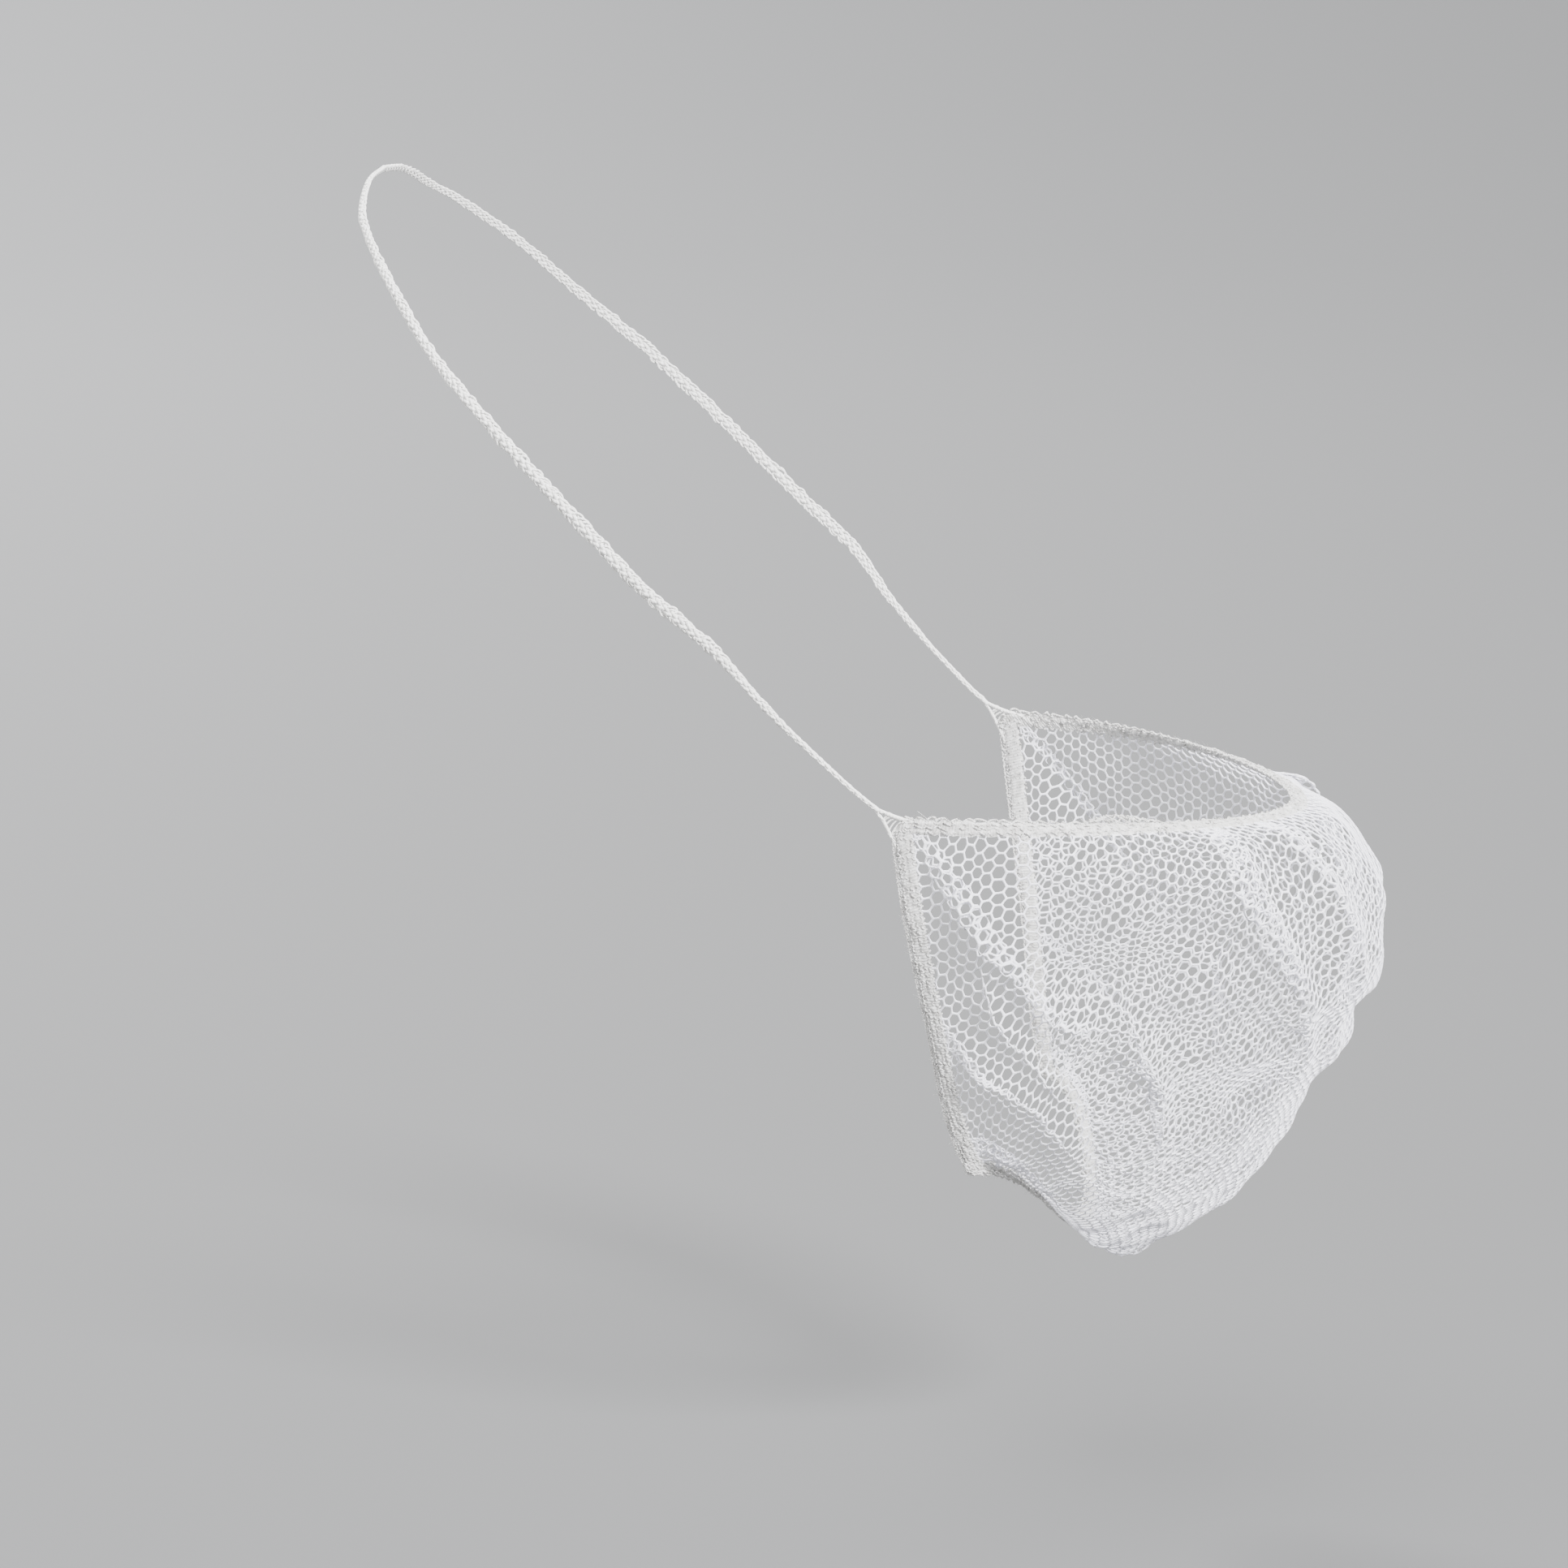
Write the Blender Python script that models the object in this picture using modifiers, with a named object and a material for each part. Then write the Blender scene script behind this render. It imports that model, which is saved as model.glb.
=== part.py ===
"""Beard cover: a net pouch for the lower face, hemmed with crochet elastic and hung from a head strap.

Everything is in metres. The wearer faces -Y, the wearer's right side is -X and +Z is up. The origin is the
inner face of the head strap where it crosses the back of the crown, on the mid-plane.

The pouch is one curved surface. It is read with two fractions: across runs from -1 at the wearer's right
edge to 1 at the left edge, and down runs from 0 at the upper lip to 1 at the throat. The hems are strips
along its four edges, and the net fills what is left between them.
"""

import math
from collections import namedtuple

import bmesh
import bpy
import numpy as np
from mathutils import Vector
from mathutils.geometry import delaunay_2d_cdt

# Walls and gaps
NET_THICKNESS = 0.0012
HEM_THICKNESS = 0.0018
PIECE_GAP = 0.0006

# Hem widths, from the outer edge to the net
UPPER_HEM_WIDTH = 0.0036
SIDE_HEM_WIDTH = 0.0046
LOWER_HEM_WIDTH = 0.0038
HEM_CROWN = 0.0004

# Net cells, in columns with their flat sides up and down; the real mesh is six times finer
NET_COLUMNS = 15
NET_ROWS = 8
CELL_OPENING = 0.72
CELL_ROUNDING = 0.35
HALF_CELL_HEIGHT = 0.62
CELL_POINTS = 12
BORDER_STEPS_ACROSS = 46
BORDER_STEPS_DOWN = 20

# Middle line of the pouch in the mid-plane, from the upper lip down over the chin to the throat. A
# cross-section there is an ellipse with roundness 2 in front and fullness 2 at the jaw; a lower roundness
# is more pointed, and a lower fullness turns in sooner behind the jaw. Late_drop is 1 where it falls
# evenly from the jaw to the middle, and more where it runs level first.
FrontPoint = namedtuple("FrontPoint", "down y z roundness fullness late_drop")
FRONT_LINE = (
    FrontPoint(0.00, -0.1876, -0.1246, 1.75, 1.8, 1.6),
    FrontPoint(0.06, -0.1960, -0.1270, 1.85, 1.9, 1.4),
    FrontPoint(0.13, -0.2028, -0.1341, 1.95, 2.0, 1.2),
    FrontPoint(0.25, -0.2067, -0.1506, 2.05, 2.1, 1.0),
    FrontPoint(0.33, -0.2050, -0.1616, 2.10, 2.1, 1.0),
    FrontPoint(0.38, -0.2010, -0.1662, 2.10, 2.1, 1.0),
    FrontPoint(0.44, -0.1992, -0.1742, 2.10, 2.1, 1.0),
    FrontPoint(0.51, -0.1930, -0.1815, 2.05, 2.1, 1.0),
    FrontPoint(0.57, -0.1890, -0.1890, 2.05, 2.1, 1.0),
    FrontPoint(0.72, -0.1772, -0.2055, 2.00, 1.9, 1.2),
    FrontPoint(0.83, -0.1640, -0.2145, 1.90, 1.7, 1.5),
    FrontPoint(0.91, -0.1538, -0.2185, 1.90, 1.5, 2.0),
    FrontPoint(0.95, -0.1488, -0.2164, 1.90, 1.45, 2.2),
    FrontPoint(1.00, -0.1450, -0.2110, 1.90, 1.35, 2.3),
)

# Side edge of the pouch, from the cheekbone corner down along the jaw; x is mirrored for the right side
EdgePoint = namedtuple("EdgePoint", "down x y z")
SIDE_EDGE = (
    EdgePoint(0.00, 0.0652, -0.1165, -0.1184),
    EdgePoint(0.22, 0.0645, -0.1187, -0.1355),
    EdgePoint(0.43, 0.0615, -0.1212, -0.1515),
    EdgePoint(0.62, 0.0580, -0.1235, -0.1654),
    EdgePoint(0.80, 0.0540, -0.1253, -0.1785),
    EdgePoint(0.92, 0.0506, -0.1273, -0.1874),
    EdgePoint(1.00, 0.0470, -0.1295, -0.1938),
)

# Head strap from the crown to the corner, one side; radius is half the crochet braid's width there
StrapPoint = namedtuple("StrapPoint", "x y z radius")
STRAP_ROUTE = (
    StrapPoint(0.0000, 0.0005, 0.0008, 0.0010),
    StrapPoint(0.0150, -0.0002, -0.0005, 0.0010),
    StrapPoint(0.0290, -0.0023, -0.0049, 0.0011),
    StrapPoint(0.0384, -0.0057, -0.0088, 0.0011),
    StrapPoint(0.0523, -0.0141, -0.0177, 0.0012),
    StrapPoint(0.0646, -0.0265, -0.0313, 0.0013),
    StrapPoint(0.0719, -0.0412, -0.0453, 0.0015),
    StrapPoint(0.0758, -0.0614, -0.0650, 0.0016),
    StrapPoint(0.0757, -0.0710, -0.0743, 0.0016),
    StrapPoint(0.0740, -0.0836, -0.0853, 0.0014),
    StrapPoint(0.0710, -0.0920, -0.0955, 0.0010),
    StrapPoint(0.0683, -0.1010, -0.1050, 0.0007),
    StrapPoint(0.0665, -0.1092, -0.1128, 0.0006),
    StrapPoint(0.0656, -0.1137, -0.1166, 0.0006),
)
STRAP_RADIUS = max(point.radius for point in STRAP_ROUTE)
STRAP_SPACING = 0.0045

# Yarn fan at each corner, seen square on: forward along the upper hem and down along the side hem
GATHER_THICKNESS = 0.0012
GATHER_LEAN = 0.05
GATHER_OUTLINE = (
    (-0.0024, -0.0010),
    (-0.0018, -0.0018),
    (0.0046, 0.0002),
    (0.0046, 0.0036),
    (0.0002, 0.0036),
)
GATHER_SLOTS = (
    ((0.0004, -0.0004), (0.0038, 0.0006), (0.0038, 0.0013)),
    ((0.0002, 0.0002), (0.0037, 0.0021), (0.0031, 0.0028)),
    ((-0.0003, 0.0004), (0.0020, 0.0029), (0.0011, 0.0029)),
)

# Folds of the net, by where they run on the pouch (across, down), with their half width and how far
# they stand out; a negative height is a hollow
Fold = namedtuple("Fold", "name width height route")
FOLDS = (
    Fold("right_cheek", 0.0045, 0.0032, (
        (-0.95, 0.06), (-0.91, 0.16), (-0.86, 0.26), (-0.80, 0.35), (-0.73, 0.43), (-0.62, 0.45))),
    Fold("right_jaw_crease", 0.0040, 0.0034, (
        (-0.63, 0.37), (-0.59, 0.45), (-0.55, 0.50), (-0.52, 0.56), (-0.47, 0.66))),
    Fold("right_lip_hollow", 0.0070, -0.0026, ((-0.77, 0.33), (-0.70, 0.29), (-0.61, 0.26), (-0.52, 0.24))),
    Fold("right_mouth", 0.0045, 0.0036, ((-0.37, 0.02), (-0.41, 0.15), (-0.38, 0.22), (-0.32, 0.30))),
    Fold("right_lip", 0.0035, 0.0026, ((-0.23, 0.02), (-0.25, 0.10), (-0.22, 0.17))),
    Fold("right_cheek_line", 0.0030, 0.0020, (
        (-0.88, 0.21), (-0.87, 0.40), (-0.84, 0.49), (-0.77, 0.56), (-0.70, 0.61))),
    Fold("right_jaw", 0.0035, 0.0026, (
        (-0.96, 0.56), (-0.90, 0.63), (-0.79, 0.64), (-0.74, 0.67), (-0.64, 0.75))),
    Fold("right_chin_hollow", 0.0070, -0.0022, ((-0.52, 0.58), (-0.38, 0.52), (-0.29, 0.48), (-0.22, 0.42))),
    Fold("left_cheek", 0.0045, 0.0030, ((0.94, 0.07), (0.87, 0.22), (0.77, 0.36), (0.64, 0.46))),
    Fold("left_jaw_crease", 0.0040, 0.0032, ((0.60, 0.40), (0.56, 0.52), (0.49, 0.67))),
    Fold("left_lip_hollow", 0.0070, -0.0022, ((0.74, 0.31), (0.62, 0.25), (0.50, 0.24))),
    Fold("left_mouth", 0.0045, 0.0032, ((0.34, 0.02), (0.37, 0.14), (0.32, 0.27))),
    Fold("left_jaw", 0.0035, 0.0026, ((0.95, 0.60), (0.82, 0.64), (0.67, 0.74))),
)

# Share of a fold's rise and fall that is left off at each end, and the small waves along the hems
FOLD_END = 0.04
RUFFLES_ACROSS = 14
RUFFLES_DOWN = 11
RUFFLE_HEIGHT = 0.0009
RUFFLE_REACH = 0.0090
HEM_FADE = 0.0085

# How finely the shapes are worked out; the reaches are fractions of the pouch
SURFACE_ROWS = 141
SURFACE_COLUMNS = 161
SECTION_STEPS = 181
RIDGE_STEPS = 40
STRAP_STEPS = 400
PLACE_ROUNDS = 4
NORMAL_REACH = 0.01
CLOSE = 1e-7

WHITE = (0.86, 0.86, 0.90)
WARM_WHITE = (0.88, 0.86, 0.84)


def clear_scene():
    for old in list(bpy.data.objects):
        bpy.data.objects.remove(old, do_unlink=True)


def white_material(name, colour, roughness):
    material = bpy.data.materials.new(name)
    material.use_nodes = True
    shader = material.node_tree.nodes["Principled BSDF"]
    shader.inputs["Base Color"].default_value = (*colour, 1.0)
    shader.inputs["Roughness"].default_value = roughness
    shader.inputs["Metallic"].default_value = 0.0
    return material


def read_table(rows, positions):
    """Smooth values of a table at the positions given; the first column is the position."""
    table = np.array(rows)
    knots = table[:, 0]
    values = table[:, 1:]
    slopes = np.gradient(values, knots, axis=0)
    positions = np.atleast_1d(np.asarray(positions, dtype=float))
    index = np.clip(np.searchsorted(knots, positions, side="right") - 1, 0, len(knots) - 2)
    span = (knots[index + 1] - knots[index])[:, None]
    step = (positions - knots[index])[:, None] / span
    return (
        (2 * step**3 - 3 * step**2 + 1) * values[index]
        + (step**3 - 2 * step**2 + step) * span * slopes[index]
        + (3 * step**2 - 2 * step**3) * values[index + 1]
        + (step**3 - step**2) * span * slopes[index + 1]
    )


def running_length(points):
    steps = np.linalg.norm(np.diff(points, axis=0), axis=1)
    return np.concatenate(([0.0], np.cumsum(steps)))


class PouchSurface:
    """The pouch as a grid of points, with the lengths that the hems and folds are laid out by."""

    def __init__(self):
        self.down = np.linspace(0.0, 1.0, SURFACE_ROWS)
        self.across = np.linspace(-1.0, 1.0, SURFACE_COLUMNS)
        front = read_table(FRONT_LINE, self.down)
        side = read_table(SIDE_EDGE, self.down)
        self.points = np.array([self.cross_section(f, s) for f, s in zip(front, side)])
        self.half_widths = np.array([running_length(row)[-1] / 2 for row in self.points])
        self.falls = np.array([running_length(self.points[:, c]) for c in range(SURFACE_COLUMNS)])
        self.drops = self.falls[:, -1]

    def cross_section(self, front, side):
        """Points from the right edge round the front to the left edge, evenly spaced."""
        front_y, front_z, roundness, fullness, late_drop = front
        side_x, side_y, side_z = side
        angle = np.linspace(0.0, math.pi / 2, SECTION_STEPS)
        outward = np.sin(angle) ** (2 / roundness)
        forward = np.cos(angle) ** (2 / fullness)
        y = side_y + (front_y - side_y) * forward
        z = side_z + (front_z - side_z) * forward**late_drop
        left = np.stack((side_x * outward, y, z), axis=1)
        right = left[:0:-1] * (-1, 1, 1)
        curve = np.concatenate((right, left))
        length = running_length(curve)
        even = np.linspace(0.0, length[-1], SURFACE_COLUMNS)
        return np.stack([np.interp(even, length, curve[:, axis]) for axis in range(3)], axis=1)

    def sample(self, across, down):
        column = np.clip((across + 1) / 2, 0, 1) * (SURFACE_COLUMNS - 1)
        row = np.clip(down, 0, 1) * (SURFACE_ROWS - 1)
        left = np.minimum(column.astype(int), SURFACE_COLUMNS - 2)
        top = np.minimum(row.astype(int), SURFACE_ROWS - 2)
        right_share = (column - left)[:, None]
        low_share = (row - top)[:, None]
        upper = self.points[top, left] * (1 - right_share) + self.points[top, left + 1] * right_share
        lower = self.points[top + 1, left] * (1 - right_share) + self.points[top + 1, left + 1] * right_share
        return upper * (1 - low_share) + lower * low_share

    def normal(self, across, down):
        """Unit vectors that point out of the pouch."""
        reach = NORMAL_REACH
        left = self.sample(np.minimum(across + reach, 1), down)
        right = self.sample(np.maximum(across - reach, -1), down)
        below = self.sample(across, np.minimum(down + reach, 1))
        above = self.sample(across, np.maximum(down - reach, 0))
        outward = np.cross(below - above, left - right)
        return outward / np.linalg.norm(outward, axis=1)[:, None]

    def down_after(self, across, length):
        """Fraction down at which a line from the upper edge has run the length given."""
        column = np.clip((across + 1) / 2, 0, 1) * (SURFACE_COLUMNS - 1)
        left = np.minimum(column.astype(int), SURFACE_COLUMNS - 2)
        share = (column - left)[:, None]
        falls = self.falls[left] * (1 - share) + self.falls[left + 1] * share
        return np.array([np.interp(one, fall, self.down) for one, fall in zip(length, falls)])

    def half_width(self, down):
        return np.interp(down, self.down, self.half_widths)

    def drop(self, across):
        return np.interp(across, self.across, self.drops)


class Relief:
    """Folds and ruffles: how far each point of the net stands out from the smooth pouch."""

    def __init__(self, surface):
        self.surface = surface
        self.ridges = [(fold, self.ridge_points(fold)) for fold in FOLDS]

    def ridge_points(self, fold):
        knots = np.linspace(0.0, 1.0, len(fold.route))
        rows = [(knot, *place) for knot, place in zip(knots, fold.route)]
        places = read_table(rows, np.linspace(0.0, 1.0, RIDGE_STEPS))
        return self.surface.sample(places[:, 0], places[:, 1])

    def height(self, across, down):
        points = self.surface.sample(across, down)
        total = self.ruffles(across, down)
        for fold, ridge in self.ridges:
            apart = np.linalg.norm(points[:, None] - ridge[None], axis=2)
            nearest = apart.argmin(axis=1)
            along = nearest / (RIDGE_STEPS - 1)
            taper = np.sin(math.pi * (FOLD_END + along * (1 - 2 * FOLD_END))) ** 0.5
            total = total + fold.height * taper * np.exp(-((apart.min(axis=1) / fold.width) ** 2))
        return total * self.hem_fade(across, down)

    def ruffles(self, across, down):
        """Small waves where the net is gathered on to the lower and side hems."""
        to_throat = (1 - down) * self.surface.drop(across)
        to_side = (1 - np.abs(across)) * self.surface.half_width(down)
        low = np.sin(across * math.pi * RUFFLES_ACROSS) * np.exp(-to_throat / RUFFLE_REACH)
        side = np.sin(down * math.pi * RUFFLES_DOWN) * np.exp(-to_side / RUFFLE_REACH)
        return RUFFLE_HEIGHT * (low + side)

    def hem_fade(self, across, down):
        """Nothing at the hems, rising to 1 a short way into the net, so that net and hem meet."""
        drop = self.surface.drop(across)
        edges = (
            down * drop - UPPER_HEM_WIDTH,
            (1 - down) * drop - LOWER_HEM_WIDTH,
            (1 - np.abs(across)) * self.surface.half_width(down) - SIDE_HEM_WIDTH,
        )
        nearest = np.clip(np.minimum.reduce(edges) / HEM_FADE, 0, 1)
        return nearest**2 * (3 - 2 * nearest)


def side_inset(surface, down, width):
    return width / surface.half_width(down)


def net_place(surface, sideways, lengthways):
    """Fractions on the pouch for a place in the net, which runs from -1 to 1 and from 0 to 1 between hems."""
    across = sideways
    down = lengthways
    upper = UPPER_HEM_WIDTH + PIECE_GAP
    lower = LOWER_HEM_WIDTH + PIECE_GAP
    for _ in range(PLACE_ROUNDS):
        down = surface.down_after(across, upper + lengthways * (surface.drop(across) - upper - lower))
        across = sideways * (1 - side_inset(surface, down, SIDE_HEM_WIDTH + PIECE_GAP))
    return across, down


def cell_outline(side):
    """Points round one net opening, about its middle: a hexagon with its corners rounded off."""
    flat_reach = math.cos(math.pi / 6)
    round_reach = (1 + flat_reach) / 2
    outline = []
    for step in range(CELL_POINTS):
        angle = 2 * math.pi * step / CELL_POINTS
        hexagon_reach = 1.0 if step % 2 == 0 else flat_reach
        reach = side * (hexagon_reach * (1 - CELL_ROUNDING) + round_reach * CELL_ROUNDING)
        outline.append((reach * math.cos(angle), reach * math.sin(angle)))
    return outline


def net_openings(width, height):
    """Outlines of the net's openings on a flat sheet, in columns, every second one half a cell lower."""
    side = width / (1.5 * (NET_COLUMNS - 1) + 2)
    pitch = height / NET_ROWS
    stretch = pitch / (side * math.sqrt(3))
    whole = cell_outline(side * CELL_OPENING)
    half = [(x, y * HALF_CELL_HEIGHT) for x, y in whole if y > -CLOSE]
    bar = pitch * (1 - CELL_OPENING) / 2
    outlines = []
    for column in range(NET_COLUMNS):
        centre_x = side * (1 + 1.5 * column) - width / 2
        shifted = column % 2 == 1
        rows = NET_ROWS - 1 if shifted else NET_ROWS
        for row in range(rows):
            centre_y = pitch * (row + (1.0 if shifted else 0.5))
            outlines.append([(centre_x + x, centre_y + y * stretch) for x, y in whole])
        if shifted:
            outlines.append([(centre_x + x, bar + y * stretch) for x, y in half])
    return outlines


def inside(outline, x, y):
    """True for a point inside a convex outline that runs anticlockwise."""
    sides = zip(outline, outline[1:] + outline[:1])
    return all((bx - ax) * (y - ay) - (by - ay) * (x - ax) > 0 for (ax, ay), (bx, by) in sides)


def flat_net(width, height):
    """Points and triangles of the net on a flat sheet, with its openings left out."""
    outlines = net_openings(width, height)
    points = []
    edges = []

    def add_loop(loop):
        first = len(points)
        points.extend(Vector(place) for place in loop)
        edges.extend((first + k, first + (k + 1) % len(loop)) for k in range(len(loop)))

    across = [(-0.5 + k / BORDER_STEPS_ACROSS) * width for k in range(BORDER_STEPS_ACROSS)]
    along = [k / BORDER_STEPS_DOWN * height for k in range(BORDER_STEPS_DOWN)]
    border = [(x, 0.0) for x in across]
    border += [(width / 2, y) for y in along]
    border += [(-x, height) for x in across]
    border += [(-width / 2, height - y) for y in along]
    add_loop(border)
    for outline in outlines:
        add_loop(outline)
    points.extend(Vector(place) for place in strut_crossings(width, height))
    found = delaunay_2d_cdt(points, edges, [], 0, CLOSE)
    places = [(point.x, point.y) for point in found[0]]
    faces = []
    centres = [(sum(x for x, _ in o) / len(o), sum(y for _, y in o) / len(o)) for o in outlines]
    reach = width / NET_COLUMNS
    for face in found[2]:
        x = sum(places[k][0] for k in face) / 3
        y = sum(places[k][1] for k in face) / 3
        close = [o for o, (cx, cy) in zip(outlines, centres) if abs(cx - x) < reach and abs(cy - y) < reach]
        if not any(inside(outline, x, y) for outline in close):
            faces.append(face)
    return np.array(places), faces


def strut_crossings(width, height):
    """Places where three bars of the net meet, apart from those on the border."""
    side = width / (1.5 * (NET_COLUMNS - 1) + 2)
    pitch = height / NET_ROWS
    places = []
    for column in range(NET_COLUMNS):
        centre_x = side * (1 + 1.5 * column) - width / 2
        shifted = column % 2 == 1
        for row in range(1, NET_ROWS):
            edge_y = pitch * (row + (0.5 if shifted else 0.0))
            places.append((centre_x - side / 2, edge_y))
            places.append((centre_x + side / 2, edge_y))
    return places


def add_mesh(collection, name, points, faces, material, thickness):
    """A sheet with an even wall: an open surface, made solid to both sides."""
    mesh = bpy.data.meshes.new(name)
    mesh.from_pydata([tuple(point) for point in points], [], [tuple(face) for face in faces])
    tidy = bmesh.new()
    tidy.from_mesh(mesh)
    bmesh.ops.recalc_face_normals(tidy, faces=tidy.faces)
    tidy.to_mesh(mesh)
    tidy.free()
    mesh.materials.append(material)
    mesh.shade_smooth()
    sheet = bpy.data.objects.new(name, mesh)
    collection.objects.link(sheet)
    wall = sheet.modifiers.new("wall", "SOLIDIFY")
    wall.thickness = thickness
    wall.offset = 0.0
    return sheet


def build_net(collection, surface, material):
    width = 2 * float(surface.half_widths.mean())
    height = float(surface.drops.mean())
    places, faces = flat_net(width, height)
    across, down = net_place(surface, places[:, 0] / (width / 2), places[:, 1] / height)
    relief = Relief(surface).height(across, down)
    points = surface.sample(across, down) + surface.normal(across, down) * relief[:, None]
    return add_mesh(collection, "net_pouch", points, faces, material, NET_THICKNESS)


def strip_faces(rows, columns):
    return [
        (r * columns + c, r * columns + c + 1, (r + 1) * columns + c + 1, (r + 1) * columns + c)
        for r in range(rows - 1)
        for c in range(columns - 1)
    ]


def build_hem(collection, surface, name, place, steps, material):
    """A hem: a strip of the pouch, three points wide and crowned along its middle."""
    share, run = np.meshgrid((0.0, 0.5, 1.0), np.linspace(0.0, 1.0, steps + 1))
    share = share.ravel()
    across, down = place(share, run.ravel())
    crown = HEM_CROWN * (1 - (2 * share - 1) ** 2)
    points = surface.sample(across, down) + surface.normal(across, down) * crown[:, None]
    return add_mesh(collection, name, points, strip_faces(steps + 1, 3), material, HEM_THICKNESS)


def build_hems(collection, surface, material):
    def upper(share, run):
        edge = 1 - side_inset(surface, 0.0, SIDE_HEM_WIDTH + PIECE_GAP)
        across = edge * (2 * run - 1)
        return across, surface.down_after(across, share * UPPER_HEM_WIDTH)

    def lower(share, run):
        edge = 1 - side_inset(surface, 1.0, SIDE_HEM_WIDTH + PIECE_GAP)
        across = edge * (2 * run - 1)
        return across, surface.down_after(across, surface.drop(across) - share * LOWER_HEM_WIDTH)

    def side(sign):
        def place(share, run):
            drop = surface.drop(1.0)
            top = UPPER_HEM_WIDTH + PIECE_GAP
            down = surface.down_after(np.ones_like(run), top + run * (drop - top))
            return sign * (1 - share * side_inset(surface, down, SIDE_HEM_WIDTH)), down

        return place

    build_hem(collection, surface, "upper_hem", upper, BORDER_STEPS_ACROSS, material)
    build_hem(collection, surface, "lower_hem", lower, BORDER_STEPS_ACROSS, material)
    build_hem(collection, surface, "side_hem_right", side(-1), BORDER_STEPS_DOWN, material)
    build_hem(collection, surface, "side_hem_left", side(1), BORDER_STEPS_DOWN, material)


def build_strap(collection, material):
    """One elastic from corner to corner, over the back of the crown."""
    knots = range(len(STRAP_ROUTE))
    rows = [(knot, *point) for knot, point in zip(knots, STRAP_ROUTE)]
    fine = read_table(rows, np.linspace(0, len(STRAP_ROUTE) - 1, STRAP_STEPS))
    length = running_length(fine[:, :3])
    count = int(length[-1] / STRAP_SPACING) + 1
    even = np.linspace(0.0, length[-1], count)
    left = np.stack([np.interp(even, length, fine[:, axis]) for axis in range(4)], axis=1)
    right = left[:0:-1] * (-1, 1, 1, 1)
    route = np.concatenate((right, left))
    curve = bpy.data.curves.new("head_strap", "CURVE")
    curve.dimensions = "3D"
    curve.bevel_depth = STRAP_RADIUS
    curve.bevel_resolution = 2
    curve.use_fill_caps = True
    spline = curve.splines.new("POLY")
    spline.points.add(len(route) - 1)
    for point, (x, y, z, radius) in zip(spline.points, route):
        point.co = (x, y, z, 1.0)
        point.radius = radius / STRAP_RADIUS
    curve.materials.append(material)
    strap = bpy.data.objects.new("head_strap", curve)
    collection.objects.link(strap)
    return strap


def build_corner_gather(collection, surface, name, sign, material):
    """The fan at a corner, where the strap's yarns spread on to the upper and side hems."""
    across = sign * np.array((1.0, 1.0 - GATHER_LEAN, 1.0))
    places = surface.sample(across, np.array((0.0, 0.0, GATHER_LEAN)))
    corner = Vector(places[0])
    forward = (Vector(places[1]) - corner).normalized()
    down = (Vector(places[2]) - corner).normalized()
    facing = forward.cross(down).normalized()
    down = facing.cross(forward)
    curve = bpy.data.curves.new(name, "CURVE")
    curve.dimensions = "2D"
    curve.fill_mode = "BOTH"
    curve.extrude = GATHER_THICKNESS / 2
    for loop in (GATHER_OUTLINE, *GATHER_SLOTS):
        spline = curve.splines.new("POLY")
        spline.points.add(len(loop) - 1)
        spline.use_cyclic_u = True
        for point, (along, below) in zip(spline.points, loop):
            point.co = (along, below, 0.0, 1.0)
    curve.materials.append(material)
    gather = bpy.data.objects.new(name, curve)
    matrix = gather.matrix_world.copy()
    for column, axis in enumerate((forward, down, facing, corner)):
        for row in range(3):
            matrix[row][column] = axis[row]
    gather.matrix_world = matrix
    collection.objects.link(gather)
    return gather


def main():
    clear_scene()
    collection = bpy.data.collections.new("beard_cover")
    bpy.context.scene.collection.children.link(collection)
    surface = PouchSurface()
    net = white_material("net_white", WHITE, 0.75)
    crochet = white_material("crochet_white", WARM_WHITE, 0.85)
    build_net(collection, surface, net)
    build_hems(collection, surface, crochet)
    build_strap(collection, crochet)
    build_corner_gather(collection, surface, "corner_gather_right", -1, crochet)
    build_corner_gather(collection, surface, "corner_gather_left", 1, crochet)


main()
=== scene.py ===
"""Looks of the beard cover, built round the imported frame.

Lengths are in metres, in the frame's own axes: the wearer faces -Y, the wearer's right side is -X and +Z is
up. The net is laid out flat first, as (sideways, downward) from the middle of the upper edge, and is then
folded on to the pouch. The hems, the strap and the corner fans are crocheted from real yarns.
"""

import logging
import math
from abc import ABC, abstractmethod
from dataclasses import dataclass, field
from enum import Enum
from typing import NamedTuple

import bpy
import numpy as np
from bpy.types import Material, Node, NodeSocket, NodeTree, Object
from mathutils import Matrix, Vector


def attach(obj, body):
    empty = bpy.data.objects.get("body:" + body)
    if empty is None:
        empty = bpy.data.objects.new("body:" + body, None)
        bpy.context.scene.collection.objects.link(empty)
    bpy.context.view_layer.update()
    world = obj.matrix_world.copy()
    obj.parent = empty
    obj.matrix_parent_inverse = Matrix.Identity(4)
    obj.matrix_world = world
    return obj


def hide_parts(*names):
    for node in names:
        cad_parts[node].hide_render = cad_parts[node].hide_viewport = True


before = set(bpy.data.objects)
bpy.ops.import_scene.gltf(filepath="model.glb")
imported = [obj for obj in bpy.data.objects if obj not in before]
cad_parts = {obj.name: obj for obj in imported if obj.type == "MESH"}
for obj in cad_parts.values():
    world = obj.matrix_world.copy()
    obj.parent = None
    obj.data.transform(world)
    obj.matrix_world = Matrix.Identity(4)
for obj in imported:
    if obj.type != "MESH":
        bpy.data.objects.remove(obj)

Array = np.ndarray
Colour = tuple[float, float, float]
LOG = logging.getLogger("beard_cover")
BODY = "root"
TURN = 2.0 * math.pi
TINY = 1e-12
YARN_PLACES = "yarn"
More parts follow.
